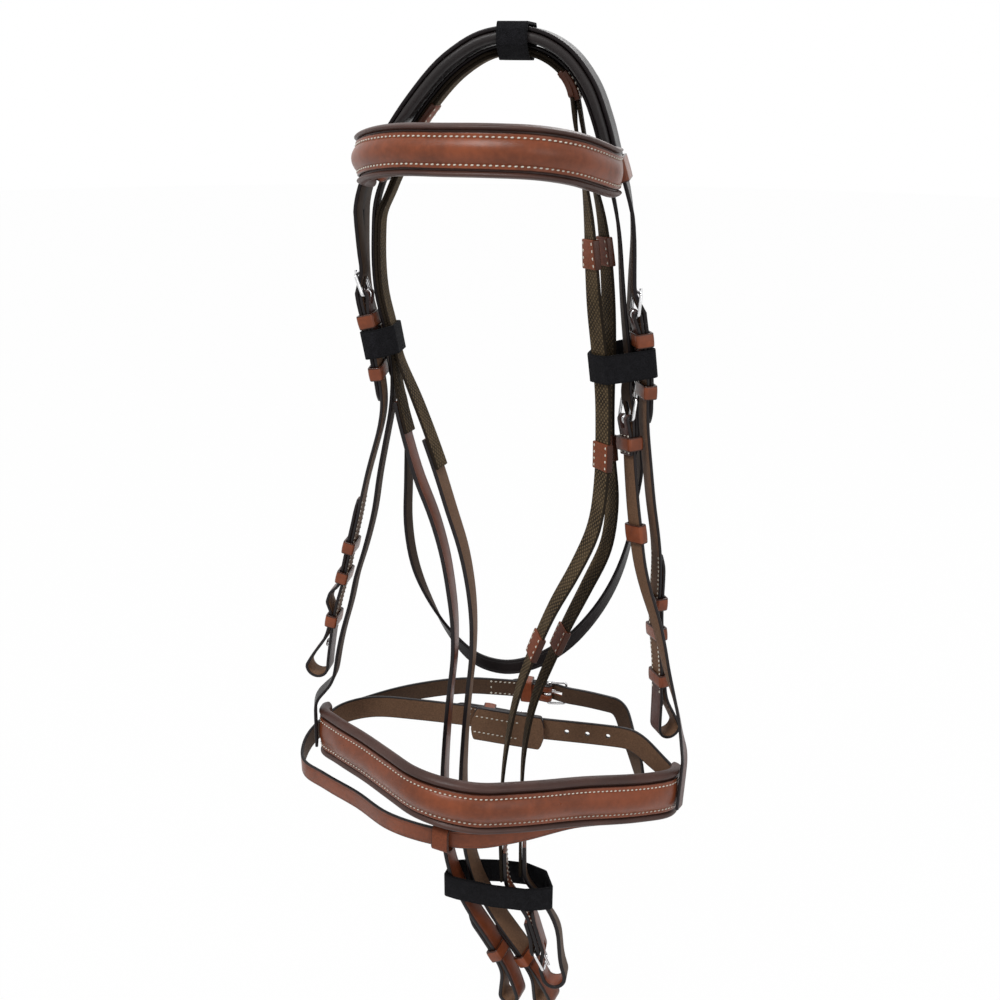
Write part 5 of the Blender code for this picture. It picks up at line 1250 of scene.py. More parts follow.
class BuckleSeat:
    """A buckle on a base line: its bar lies at a distance along, and its far side points along
    the line (sense 1) or back along it (sense -1)."""

    def __init__(self, base, bar_run, sense, width, thick, billet_thick, across=0.0):
        self.base, self.bar_run, self.sense = base, bar_run, sense
        self.width, self.thick, self.across = width, thick, across
        self.bend = WIRE_RADIUS + RUNNING_PLAY + thick / 2
        self.centre = self.bend + thick / 2
        self.main = self.centre + self.bend
        self.over = self.main + (thick + billet_thick) / 2 + LAYER_GAP
        self.under = self.centre + BUCKLE_RISE - WIRE_RADIUS - LAYER_GAP - billet_thick / 2

    def run(self, ahead):
        """The distance along the base that lies so far ahead of the bar, towards the far side."""
        return self.bar_run + self.sense * ahead

    def laid(self, steps, start=None):
        """A lay through steps of distance ahead of the bar and height, after a given start."""
        rows = [(self.run(ahead), height, self.across) for ahead, height in steps]
        return threaded(self.base, [start] + rows if start else rows, -self.sense)

    def chape(self, behind):
        """The lay of the strap that carries the buckle, from its folded end round the bar and
        on to a distance behind it."""
        folded = self.main - self.thick - LAYER_GAP
        around = arc((0.0, self.centre), self.bend, -90, 90, 18)
        return self.laid([(-FOLD_LENGTH, folded), (-FOLD_CLOSE, folded), *around,
                          (-behind, self.main)])

    def chape_slot(self):
        """The stretch of the chape, measured along it, that is cut out for the tongue."""
        around = math.pi * self.bend
        return FOLD_LENGTH - FOLD_CLOSE / 2, FOLD_LENGTH + around + FOLD_CLOSE / 2

    def billet_steps(self, behind):
        return [(BUCKLE_REACH * 1.35, self.under), (BUCKLE_REACH, self.under),
                (BUCKLE_REACH * 0.5, (self.under + self.over) / 2),
                (BUCKLE_REACH * 0.1, self.over), (-behind, self.over)]

    def billet(self, behind, start=None):
        """The lay of the strap that is buckled in: from a start (distance, height and shift
        across), under the far side and over the bar to a distance behind the bar."""
        return self.laid(self.billet_steps(behind), start)

    def local(self, ahead, across, rise):
        """A spot given from the middle of the bar."""
        place = self.base.at(self.bar_run).moved(self.across, self.centre)
        return place.spot + place.along * (self.sense * ahead) + place.across * across \
            + place.out * rise

    def slot_on(self, lay):
        """The stretch of the buckled strap that the tongue comes up through."""
        bar = lay.nearest(self.local(0.0, 0.0, self.over - self.centre))
        ahead, behind = (BUCKLE_REACH * share for share in SLOT_SHARES)
        way = self.local(BUCKLE_REACH, 0.0, 0.0) - self.local(0.0, 0.0, 0.0)
        if lay.at(bar).along.dot(way) > 0:
            return bar - behind, bar + ahead
        return bar - ahead, bar + behind

    def steelwork(self, name):
        """The buckle's frame, a ring of wire with rounded corners and a raised far side, and its
        tongue, a wire eye round the bar with a shank to the far side."""
        half = self.width / 2 + BUCKLE_SIDE_PLAY + WIRE_RADIUS
        outline = rounded_box((0.0, -half), (BUCKLE_REACH, half), BUCKLE_CORNER, 6)
        points = [self.local(ahead, across, BUCKLE_RISE * ahead / BUCKLE_REACH)
                  for ahead, across in outline]
        add_part(name + "_buckle", wire_mesh(points, WIRE_RADIUS, closed=True), "steel")
        eye = WIRE_RADIUS + TONGUE_EYE_PLAY + TONGUE_RADIUS
        far_rise = BUCKLE_RISE + WIRE_RADIUS + TONGUE_RADIUS + LAYER_GAP
        points = arc((0.0, 0.0), eye, 345, 90, 20)
        points += [(BUCKLE_REACH * TONGUE_BEND_SHARE, eye + (far_rise - eye) * TONGUE_BEND_SHARE),
                   (BUCKLE_REACH, far_rise), (BUCKLE_REACH + TONGUE_OVERHANG, far_rise)]
        mesh = wire_mesh([self.local(ahead, 0.0, rise) for ahead, rise in points], TONGUE_RADIUS)
        add_part(name + "_tongue", mesh, "steel")

    def fixed_keeper(self, name, straps):
        """The keeper that is sewn in behind the bar, round the chape and the buckled strap."""
        place = self.base.at(self.run(-KEEPER_FROM_BAR)).moved(self.across, self.main)
        keeper(name, place, straps)


def hook_stud(name, place):
    """A small mushroom stud, turned: foot, neck and domed head."""
    profile = [(0.0, 0.0), (STUD_RADIUS * 0.8, 0.0), (STUD_RADIUS * 0.8, STUD_HEIGHT * 0.2),
               (STUD_NECK_RADIUS, STUD_HEIGHT * 0.3), (STUD_NECK_RADIUS, STUD_HEIGHT * 0.5),
               (STUD_RADIUS, STUD_HEIGHT * 0.6), (STUD_RADIUS * 0.8, STUD_HEIGHT * 0.9),
               (0.0, STUD_HEIGHT)]
    mesh = bmesh.new()
    verts = [mesh.verts.new((radius, 0.0, height)) for radius, height in profile]
    edges = [mesh.edges.new(pair) for pair in zip(verts, verts[1:])]
    bmesh.ops.spin(mesh, geom=verts + edges, cent=(0, 0, 0), axis=(0, 0, 1),
                   angle=math.tau, steps=28, use_merge=True)
    bmesh.ops.remove_doubles(mesh, verts=mesh.verts, dist=MERGE)
    face_out(mesh)
    made = baked(mesh, name)
    made.transform(place.matrix())
    add_part(name, made, "steel")


def punched(obj, places, depth):
    """Cut a row of round holes through a strap."""
    punch = bmesh.new()
    for place in places:
        bmesh.ops.create_cone(punch, cap_ends=True, segments=24, radius1=HOLE_RADIUS,
                              radius2=HOLE_RADIUS, depth=depth + CUT_OVERRUN,
                              matrix=place.matrix())
    cutter = linked("punch", baked(punch, "punch"))
    cut = obj.modifiers.new("holes", "BOOLEAN")
    cut.object, cut.operation, cut.solver = cutter, "DIFFERENCE", "EXACT"
    bpy.context.view_layer.update()
    done = evaluated(obj)
    obj.modifiers.clear()
    obj.data = done
    done.set_sharp_from_angle(angle=SHARP_ANGLE)
    bpy.data.objects.remove(cutter, do_unlink=True)


def hand_stop(name, number, web, run, wall):
    """A leather hand stop round the web, sewn along both its edges."""
    half = STOP_LENGTH / 2 * STOP_SHARE
    line = web.between(run - half, run + half)
    width, thick = WEB_WIDTH + 2 * STOP_EDGE, WEB_THICK + 2 * wall
    strap("%s_stop_%d" % (name, number), line, width, thick, "stop_leather",
          node=name + "_web", stands=False)
    for face in (-1, 1):
        for side in (-1, 1):
            sew(line, side * (width / 2 - STOP_INSET), face * (thick / 2 + SEW_LIFT), STOP_INSET,
                line.length - STOP_INSET)


def between_steps(low, high, share):
    """A size on its way from one to another, with an even start and end."""
    share = min(max(share, 0.0), 1.0)
    return low + (high - low) * share * share * (3 - 2 * share)


def padded_band(name, lay, lining, strip, flat):
    """A padded band: the lining with a soft roll along each edge, and the raised strip that is
    sewn down its middle."""
    (lining_width, lining_thick), (strip_width, strip_thick) = lining, strip
    lay = eased(lay)
    strip_width *= STRIP_SHARE
    full = flat + BAND_TAPER

    def rise_at(run):
        left = min(run, lay.length - run)
        return between_steps(BAND_END_THICK, strip_thick, (left - flat) / (full - flat)) \
            - STRIP_EDGE_THICK

    def raised(share):
        inside = max(STRIP_CROWN_END - abs(share), 0.0) / STRIP_CROWN_END
        crown = math.sin(math.pi / 2 * inside) ** STRIP_CREST
        return lambda run: LAP_GAP + STRIP_EDGE_THICK * (1.0 if abs(share) < 0.96 else 0.6) \
            + crown * rise_at(run)

    def rows(width):
        marks = marks_of(lay, wanted=[flat, full, lay.length - full, lay.length - flat])
        return [[(lay.at(run), width / 2, run)] for run in marks]

    roll = (strip_width + 2 * LAP_GAP) / lining_width
    sides = [roll + (1.0 - roll) * away for away in ROLL_STEPS]
    columns = []
    for share in [-share for share in reversed(sides)] + [-roll / 2, 0.0, roll / 2] + sides:
        away = min(max((abs(share) - roll) / (1.0 - roll), 0.0), 1.0)
        puff = math.sin(math.pi * away) ** ROLL_CREST if 0.0 < away < 1.0 else 0.0
        low = -lining_thick * (1.0 - 0.42 * away ** 3)
        high = ROLL_RISE * 1.3 * puff - 0.36 * lining_thick * away ** 4
        columns.append((0, share, always(low), always(high)))
    mesh = strip_mesh(rows(lining_width), columns)
    add_part(name + "_lining", mesh, "padding")
    columns = [(0, share, always(LAP_GAP), raised(share))
               for share in (*(-share for share in reversed(STRIP_STEPS[1:])), *STRIP_STEPS)]
    mesh = strip_mesh(rows(strip_width), columns)
    add_part(name + "_strip", mesh, "strip_leather")
    for side in (-1, 1):
        sew(lay, side * strip_width / 2 * BAND_SEAM_SHARE, LAP_GAP + STRIP_EDGE_THICK + SEW_LIFT,
            SCAN_STEP, lay.length - SCAN_STEP)


def crown_pad(arch, poll):
    """The poll pad: a soft flat cushion under the crown, thin towards its ends."""
    half = CROWN_PAD_LENGTH / 2 + CROWN_PAD_LEAD
    lay = arch.between(poll - half, poll + half).lifted(LIFT_CROWN - LAYER_GAP)
    marks = marks_of(lay, wanted=[CROWN_PAD_TAPER, lay.length - CROWN_PAD_TAPER])
    rows = [[(lay.at(run), CROWN_PAD_WIDTH / 2, run)] for run in marks]

    def depth(share):
        def height(run):
            left = min(run, lay.length - run) / CROWN_PAD_TAPER
            return -share * between_steps(CROWN_PAD_EDGE, CROWN_PAD_THICK, left)
        return height

    columns = [(0, -share, depth(low), depth(high))
               for share, low, high in reversed(PAD_STEPS[1:])]
    columns += [(0, share, depth(low), depth(high)) for share, low, high in PAD_STEPS]
    add_part("crown_pad", strip_mesh(rows, columns), "pad_black")
    middle = lay.lifted(-CROWN_PAD_THICK / 2)
    return middle, CROWN_PAD_WIDTH, CROWN_PAD_THICK


def looped(line, turn_run, radius, reach, thick, billet_length, bow=0.0):
    """The lay of a strap that runs down its line, turns outwards round a loop for a ring and
    comes back up beside itself. The loop's bend is centred at the turn."""
    apart = thick + LAP_GAP
    wide = 2 * radius - apart
    steps = [(0.0, 0.0), (turn_run, 0.0)]
    steps += [(turn_run + side, radius - rise) for rise, side in
              arc((0.0, 0.0), radius, 0, 180, 24)][1:]
    steps += [(turn_run - reach * back, apart + wide * gape) for back, gape in LOOP_SHARES]
    for share, rise in BOW_SHARES if bow else ():
        steps.append((turn_run - reach - billet_length * share, apart + bow * rise))
    steps.append((turn_run - reach - billet_length, apart))
    return threaded(line, steps)


def crownpiece(rails, slots):
    """The crown strap: whole over the poll and split into a front and a rear strap at each
    side. A rail is the lays of its off strap, its middle and its near strap. A slot is a
    stretch of one of them, for a buckle's tongue."""
    rows = []
    open_cells = set()
    for part, (front, rear) in enumerate(zip(*rails)):
        tips = BILLET_TIP if part == 0 else 0.0, BILLET_TIP if part == 2 else 0.0
        own_slots = [(line, edges) for (line, where), edges in slots.items() if where == part]
        wanted = [run * front.length / rails[line][part].length
                  for line, edges in own_slots for run in edges]
        clear = [run / front.length for run in wanted + front.marks]
        for mark in rear.marks:
            if all(abs(mark / rear.length - share) * rear.length > LAP_GAP * 4 for share in clear):
                wanted.append(mark * front.length / rear.length)
        marks = marks_of(front, *tips, wanted)
        for k, mark in enumerate(marks):
            if k > 0:
                cell = len(rows) - 1
                if part != 1:
                    open_cells.add((cell, 3))
                for line, (start, end) in own_slots:
                    middle = (marks[k - 1] + mark) / 2 / front.length * rails[line][part].length
                    if start < middle < end:
                        open_cells.add((cell, 1 + 4 * line))
            elif part > 0:
                continue
            row = []
            for line, own in enumerate((front, rear)):
                run = mark / front.length * own.length
                away = (1 - run / own.length, 0.0, run / own.length)[part]
                away = min(away / CROWN_NARROW_SHARE, 1.0)
                half = CHEEK_WIDTH / 2 - (CHEEK_WIDTH - THROAT_WIDTH) / 2 * away * line
                row.append((own.at(run), half * tip_share(run, own.length, *tips), run))
            rows.append(row)

    half_slot = TONGUE_SLOT / CHEEK_WIDTH
    columns = [(line, share, always(-CROWN_THICK / 2), always(CROWN_THICK / 2))
               for line in (0, 1) for share in (-1.0, -half_slot, half_slot, 1.0)]
    mesh = strip_mesh(rows, columns, lambda row, cell: (row, cell) in open_cells, EDGE_MOST)
    add_part("crownpiece", mesh, "black_leather")


def lifted_base(arch, runs):
    """The arch at the height of the buckles, and where on it some distances of the arch lie."""
    base = arch.lifted(LIFT_BUCKLE)
    return base, [base.nearest(arch.at(run).point(0.0, LIFT_BUCKLE)) for run in runs]


def cheek_side(side, arch, runs, sense, shares, bow):
    """One cheek: cheekpiece, buckle, keepers and hook stud. The runs are of the bar, the place
    where the cheekpiece leaves the arch and the crown's split. Returns the cheekpiece, the
    crown's front billet that is buckled to it, and where the tongue comes through."""
    base, (bar_run, leave_run, split_run) = lifted_base(arch, runs)
    seat = BuckleSeat(base, bar_run, sense, *CHEEK, CROWN_THICK, -SPLIT_OFFSET)
    line = carried_on(seat.chape(abs(leave_run - bar_run)), shares)
    turn = line.length - BIT_LOOP_RADIUS
    cheek = looped(line, turn, BIT_LOOP_RADIUS, BIT_LOOP_REACH, CHEEK_THICK, BIT_BILLET_LENGTH,
                   bow)
    turned = turn - BIT_LOOP_REACH * BIT_KEEPER_SHARES[0]
    strap(side + "_cheekpiece", cheek, *CHEEK, "dark_leather",
          end_tip=BILLET_TIP, slots=[seat.chape_slot()], turned_from=turned)
    seat.steelwork(side + "_cheek")

    lift = (CHEEK_THICK + CROWN_THICK) / 2 + LAYER_GAP
    bar = FOLD_LENGTH + math.pi * seat.bend
    below = line.between(bar, turn).lifted(lift)
    start = (split_run, LIFT_CROWN + CROWN_THICK / 2 - LIFT_BUCKLE, -SPLIT_OFFSET)
    upper = seat.billet(BUCKLE_REACH * 0.3, start)
    joint = below.nearest(upper.places[-1].spot) + BUCKLE_REACH * 0.2
    lower = below.between(joint, joint + CHEEK_BILLET - BUCKLE_REACH / 2)
    billet = Lay(upper.places + lower.places)

    sewn = BIT_LOOP_REACH * 0.95, BIT_BILLET_LENGTH + BIT_LOOP_REACH
    sew_strap(line.between(turn - sewn[1], turn - sewn[0]), *CHEEK, faces=(-1,))
    sew_strap(line.between(*(FOLD_LENGTH * share for share in CHEEK_SEAM)), *CHEEK)
    straps = [(cheek, *CHEEK), (billet, CHEEK_WIDTH, CROWN_THICK)]
    seat.fixed_keeper(side + "_cheek_keeper_upper", straps)
    tip = line.nearest(billet.places[-1].spot, bar)
    place = line.at(tip - 2 * BILLET_TIP).moved(0.0, lift / 2)
    keeper(side + "_cheek_keeper_lower", place, straps, KEEPER_SLIDE / 2)
    for number, share in enumerate(BIT_KEEPER_SHARES, 1):
        place = line.at(turn - BIT_LOOP_REACH * share)
        slide = KEEPER_SLIDE if number == 3 else 0.0
        keeper("%s_bit_keeper_%d" % (side, number), place, straps[:1], slide)
    place = line.at(turn - STUD_SETBACK).moved(0.0, CHEEK_THICK / 2 + LAYER_GAP)
    hook_stud(side + "_hook_stud", place)
    return straps, billet, seat.slot_on(billet)


def rein(name, arch, lift, web_shares, end_shares, web_end_share):
    """One rein: the web with its hand stops and the leather end that takes the bit. Returns the
    web's line down the near side, and its straps."""
    leave_off = off_run(arch, STACK_LEAVE_SHARE)
    leave_near = near_run(arch, WEB_LEAVE_SHARE)
    brow = off_run(arch, BROW_SHARE)
    steps = [(leave_off, lift), (brow - 2 * BROW_LOOP_LENGTH, lift),
             (brow - BROW_LOOP_LENGTH, lift - BROW_LOOP_DIP),
             (brow + BROW_LOOP_LENGTH, lift - BROW_LOOP_DIP),
             (brow + 2 * BROW_LOOP_LENGTH, lift), (leave_near, lift)]
    over = threaded(arch, steps)
    web_line = carried_on(over, web_shares)
    off_line = carried_on(over.turned_back(), end_shares)
    web_end = off_line.run_at_drop(web_end_share)
    near_part = web_line.turned_back().places[:-len(over.places)]
    web = Lay(near_part + off_line.between(0.0, web_end).places)
    strap(name + "_web", web, *WEB, "web")
    stops = [(web_line.length - web_line.run_at_drop(share), wall) for share, wall in STOPS]
    if name == "rein_a":
        off = off_line.run_at_drop(OFF_STOP_SHARE) - over.length
        stops.append((web_line.length + off, TOP_STOP_WALL))
    for number, (run, wall) in enumerate(stops, 1):
        hand_stop(name, number, web, run, wall)

    end_line = off_line.between(web_end - REIN_LAP, off_line.length)
    end_line = end_line.lifted((WEB_THICK + REIN_THICK) / 2 + LAP_GAP)
    turn = end_line.length - REIN_LOOP_RADIUS
    leather = looped(end_line, turn, REIN_LOOP_RADIUS, REIN_LOOP_REACH, REIN_THICK,
                     REIN_BILLET_LENGTH)
    turned = 0.0 if name == "rein_b" else turn - REIN_LOOP_REACH - KEEPER_LENGTH
    strap(name + "_leather", leather, *REIN, "rein_leather", end_tip=BILLET_TIP,
          turned_from=turned)
    end_strap = (leather, *REIN)
    keeper(name + "_keeper", end_line.at(turn - REIN_LOOP_REACH - KEEPER_LENGTH), [end_strap])
    return web_line, [(web, *WEB), end_strap]


def rein_centre(web_a, web_b):
    """The buckled pieces in the middle of the reins: the strap sewn to web A carries the
    buckle, and the billet sewn to web B turns round below and is buckled in."""
    base = free_lay(CENTRE_BASE_PLACES)
    seat = BuckleSeat(base, base.length * CENTRE_BAR_SHARE, 1, *REIN, REIN_THICK)
    apart = (WEB_THICK + REIN_THICK) / 2 + LAP_GAP
    lap = web_a.turned_back().between(0.0, REIN_LAP).lifted(apart)
    centre = carried_on(seat.chape(seat.bar_run), (), lap)
    sew_strap(centre.between(FOLD_LENGTH * CENTRE_SEAM_START, centre.length), *REIN)
    strap("rein_centre_strap", centre, *REIN, "rust_leather",
          slots=[seat.chape_slot()])

    turn = seat.run(BUCKLE_REACH * 1.6)
    radius = CENTRE_TURN_RADIUS
    rows = [(turn - radius, seat.under + 2 * radius)]
    rows += [(turn + side, seat.under + radius + rise) for rise, side in
             arc((0.0, 0.0), radius, 0, 180, 24)]
    rows += [(seat.run(ahead), height) for ahead, height in seat.billet_steps(CENTRE_BILLET)[1:]]
    lap = web_b.between(web_b.length - REIN_LAP, web_b.length).lifted(apart).turned_over()
    billet = carried_on(lap, CENTRE_B_PLACES, threaded(base, rows, -1))
    strap("rein_centre_billet", billet, *REIN, "rust_leather",
          end_tip=BILLET_TIP, slots=[seat.slot_on(billet)])
    seat.steelwork("rein")
    return [(centre, *REIN), (billet, *REIN)]


def band_crossing(lay, run, height):
    """The lay of a strap that comes down over a band's outer face."""
    place = lay.at(run)
    spots = [place.point(HANGER_ABOVE, height), place.point(-HANGER_OVERLAP, height)]
    return Lay([Place(spot, -place.across, place.out) for spot in spots])


def noseband_hangers(arch, nose):
    """The headstrap, which is the off hanger too, and the near hanger with its buckle."""
    height = 2 * LAP_GAP + BAND_END_THICK + HEADSTRAP_THICK / 2
    edge = NOSE_END_FLAT / 2
    over = arch.between(off_run(arch, STACK_LEAVE_SHARE), near_run(arch, STACK_LEAVE_SHARE))
    over = over.lifted(LIFT_HEADSTRAP + HEADSTRAP_THICK / 2)
    off_end = band_crossing(nose, edge, height)
    off_hanger = carried_on(over.turned_back(), OFF_HANGER_PLACES, off_end)
    base = free_lay(HANGER_SEAT_PLACES)
    bar = base.run_at_drop(HANGER_BUCKLE_SHARE)
    seat = BuckleSeat(base, bar, -1, *HEADSTRAP, HEADSTRAP_THICK)
    headstrap = carried_on(off_hanger.turned_back(), (), seat.billet(HEADSTRAP_BILLET))
    strap("headstrap", headstrap, *HEADSTRAP, "black_leather",
          end_tip=BILLET_TIP, slots=[seat.slot_on(headstrap)])

    near_end = band_crossing(nose, nose.length - edge, height)
    hanger = carried_on(seat.chape(base.length - bar), NEAR_HANGER_PLACES, near_end)
    strap("near_hanger", hanger, *HEADSTRAP, "dark_leather",
          slots=[seat.chape_slot()])
    sew_strap(hanger.between(HANGER_SEAM_START, FOLD_LENGTH - FOLD_CLOSE), *HEADSTRAP,
              faces=(-1, 1), closed=True)
    seat.steelwork("hanger")
    straps = [(headstrap, *HEADSTRAP), (hanger, *HEADSTRAP)]
    seat.fixed_keeper("hanger_keeper", straps)
    gather = hanger.at(hanger.run_at_drop(GATHER_SHARE))
    keeper("gathering_keeper", gather, straps[1:], KEEPER_SLIDE, GATHER_LENGTH)
    return straps


def band_end(band, run, sense, height):
    """A short lay that butts against a band's end face, coming from beyond it."""
    place = band.at(run).moved(0.0, height)
    away = place.along * sense
    spots = [place.spot + away * (LAYER_GAP + BAND_LEAD), place.spot + away * LAYER_GAP]
    return Lay([Place(spot, -away, place.out) for spot in spots])


def noseband_straps(nose):
    """The straps behind the jaw: the one with the buckle, the billet and the chin guard."""
    base = free_lay(NOSE_BASE_PLACES)
    seat = BuckleSeat(base, base.length * NOSE_BAR_SHARE, 1, *NOSE_STRAP, NOSE_STRAP_THICK)
    height = (BAND_END_THICK - NOSE_LINING_THICK) / 2
    off_end = band_end(nose, 0.0, -1, height)
    off_strap = carried_on(seat.chape(seat.bar_run), NOSE_OFF_PLACES, off_end)
    sew_strap(off_strap.between(*(FOLD_LENGTH * share for share in NOSE_SEAM)), *NOSE_STRAP,
              faces=(-1, 1), closed=True)
    strap("nose_strap", off_strap, *NOSE_STRAP, "dark_leather",
          slots=[seat.chape_slot()])
    near_end = band_end(nose, nose.length, 1, height).turned_back()
    start = (base.length, seat.over)
    billet = carried_on(near_end, NOSE_NEAR_PLACES, seat.billet(NOSE_BILLET, start))
    obj = strap("nose_billet", billet, *NOSE_STRAP, "dark_leather",
                end_tip=BILLET_TIP, slots=[seat.slot_on(billet)])
    bar = billet.nearest(seat.local(0.0, 0.0, seat.over - seat.centre))
    punched(obj, [billet.at(bar - BUCKLE_REACH - HOLE_PITCH * k) for k in (2, 3, 4)],
            NOSE_STRAP_THICK)
    seat.steelwork("nose")
    seat.fixed_keeper("nose_keeper", [(off_strap, *NOSE_STRAP), (billet, *NOSE_STRAP)])
    half = CHIN_GUARD_LENGTH / 2
    guard = base.between(seat.bar_run - half, seat.bar_run + half)
    guard = guard.lifted(-LAYER_GAP - CHIN_GUARD_THICK / 2)
    strap("chin_guard", guard, CHIN_GUARD_WIDTH, CHIN_GUARD_THICK, "dark_leather",
          start_tip=GUARD_CORNER, end_tip=GUARD_CORNER)
    for share in (-GUARD_SEAM_SHARE, GUARD_SEAM_SHARE):
        sew(guard, share * CHIN_GUARD_WIDTH, -CHIN_GUARD_THICK / 2 - SEW_LIFT,
            *(guard.length * share for share in GUARD_SEAM))


def flash(nose):
    """The flash strap under the noseband, its buckle behind the jaw and its loop in front."""
    base = free_lay(FLASH_BASE_PLACES)
    seat = BuckleSeat(base, base.length * FLASH_BAR_SHARE, 1, *FLASH, FLASH_THICK)
    billet = seat.billet(FLASH_BILLET, (base.length, seat.over))
    lay = carried_on(seat.chape(seat.bar_run), FLASH_PLACES, billet)
    ahead = lay.length - billet.length
    start, end = seat.slot_on(billet)
    strap("flash_strap", lay, *FLASH, "rust_leather", end_tip=BILLET_TIP,
          slots=[seat.chape_slot(), (ahead + start, ahead + end)])
    seat.steelwork("flash")
    seat.fixed_keeper("flash_keeper", [(lay, *FLASH)])
    sew_strap(lay.between(*(FOLD_LENGTH * share for share in FLASH_SEAM)), *FLASH,
              faces=(-1, 1), closed=True)

    place = nose.at(nose.nearest(place_of(FLASH_LOOP_PLACE)[0]))
    down = Place(place.spot, -place.across, place.out)
    edge = NOSE_LINING_WIDTH / 2
    line = Lay([down, Place(place.point(-2 * edge, 0.0), down.along, down.out)])
    passing = lay.at(lay.nearest(place.point(-edge - FLASH_WIDTH, -NOSE_LINING_THICK))).spot
    centre = (passing - place.spot).dot(down.along)
    height = (passing - place.spot).dot(down.out)
    half = FLASH_WIDTH / 2 + FLASH_TAB_SAG / 2 + FLASH_TAB_THICK / 2
    deep = FLASH_THICK / 2 + KEEPER_PLAY + FLASH_TAB_SAG + FLASH_TAB_THICK / 2
    behind = -NOSE_LINING_THICK - 2 * LAP_GAP - FLASH_TAB_THICK / 2
    steps = [(edge - FLASH_TAB_RISE, behind), (edge, behind), (centre - half, height - deep),
             (centre + half - deep / 2, height - deep), (centre + half, height - deep / 2),
             (centre + half, height + deep / 2), (centre + half - deep / 2, height + deep),
             (centre - half + deep / 2, height + deep), (centre - half, height + deep / 2),
             (centre - half, height)]
    strap("flash_loop", threaded(line, steps), FLASH_TAB_WIDTH, FLASH_TAB_THICK, "stop_leather")


def browband(arch, crown_straps):
    """The browband and the two loops at its ends, which the crown and headstrap pass through."""
    reach = CROWN_WIDTH / 2 + KEEPER_PLAY + BROW_LOOP_WALL + LAYER_GAP
    ends = []
    for side, run in (("off", off_run(arch, BROW_SHARE)), ("near", near_run(arch, BROW_SHARE))):
        place = arch.at(run)
        keeper("browband_loop_" + side, place.moved(0.0, LIFT_CROWN / 2), crown_straps,
               length=BROW_LOOP_LENGTH, wall=BROW_LOOP_WALL)
        spots = [place.point(-reach, LIFT_CROWN), place.point(-reach - BAND_LEAD, LIFT_CROWN)]
        upright = Vector((place.out.x, place.out.y, 0.0))
        ends.append(Lay([Place(spot, -place.across, upright) for spot in spots]))
    lay = carried_on(ends[0], BROW_PLACES, ends[1].turned_back())
    padded_band("browband", lay, BROW_LINING, BROW_STRIP, BROW_END_FLAT)


def throatlatch(arch, split_run):
    """The throatlatch: lapped on the crown's off rear strap and buckled to its near rear one.
    Returns the throatlatch, the crown's two rear straps and where the tongue comes through."""
    height = LIFT_CROWN + CROWN_THICK / 2
    off_split = off_run(arch, SPLIT_SHARE)
    branch_end = off_run(arch, BRANCH_END_SHARE)
    off_branch = threaded(arch, [(branch_end, height, BRANCH_OFFSET),
                                 (off_split - BRANCH_SPREAD, height, BRANCH_OFFSET),
                                 (off_split, height, SPLIT_OFFSET)])
    base, (bar, start) = lifted_base(arch, (near_run(arch, THROAT_BUCKLE_SHARE), split_run))
    seat = BuckleSeat(base, bar, -1, *THROAT, CROWN_THICK, THROAT_OFFSET)
    near_branch = seat.billet(THROAT_BILLET, (start, height - LIFT_BUCKLE, SPLIT_OFFSET))
    lap = arch.between(branch_end, branch_end + THROAT_LAP)
    lap = lap.lifted(LIFT_CROWN - LAYER_GAP - THROAT_THICK / 2, BRANCH_OFFSET)
    lay = carried_on(seat.chape(THROAT_BILLET + KEEPER_LENGTH), THROAT_PLACES, lap)
    strap("throatlatch", lay, *THROAT, "black_leather",
          slots=[seat.chape_slot()])
    seat.steelwork("throat")
    return (lay, *THROAT), off_branch, near_branch, seat.slot_on(near_branch)


PLAN = {}


def crown_and_cheeks():
    """The crown with its pad, both cheeks and the throatlatch."""
    arch = arch_lay()
    poll = arch.nearest(Vector((0.0, 0.0, SEAT_LIFT)))
    splits = off_run(arch, SPLIT_SHARE), near_run(arch, SPLIT_SHARE)
    runs = [off_run(arch, share) for share in (OFF_BUCKLE_SHARE, CHEEK_LEAVE_SHARE, SPLIT_SHARE)]
    off_straps, off_billet, off_slot = cheek_side(
        "off", arch, runs, 1, OFF_CHEEK_PLACES, OFF_CHEEK_BOW)
    runs = [near_run(arch, share) for share in (NEAR_BUCKLE_SHARE, CHEEK_LEAVE_SHARE, SPLIT_SHARE)]
    near_straps, near_billet, near_slot = cheek_side(
        "near", arch, runs, -1, NEAR_CHEEK_PLACES, 0.0)
    throat, off_branch, near_branch, throat_slot = throatlatch(arch, splits[1])

    height = LIFT_CROWN + CROWN_THICK / 2
    whole = arch.between(*splits)
    off_front = off_billet.turned_back()
    rails = [[off_front, whole.lifted(height, -SPLIT_OFFSET), near_billet],
             [off_branch, whole.lifted(height, SPLIT_OFFSET), near_branch]]
    off_slot = tuple(off_front.length - run for run in reversed(off_slot))
    crownpiece(rails, {(0, 0): off_slot, (0, 2): near_slot, (1, 2): throat_slot})
    branches = [(branch, CHEEK_WIDTH, CROWN_THICK) for branch in (off_branch, near_branch)]
    PLAN.update(arch=arch, crown=(whole.lifted(height), CROWN_WIDTH, CROWN_THICK),
                pad=crown_pad(arch, poll), sides=off_straps + near_straps + branches + [throat])


def noseband():
    """The padded noseband, the straps that hold it, its jaw straps and the flash."""
    nose = free_lay(NOSE_PLACES)
    padded_band("noseband", nose, NOSE_LINING, NOSE_STRIP, NOSE_END_FLAT)
    PLAN["hangers"] = noseband_hangers(PLAN["arch"], nose)
    noseband_straps(nose)
    flash(nose)


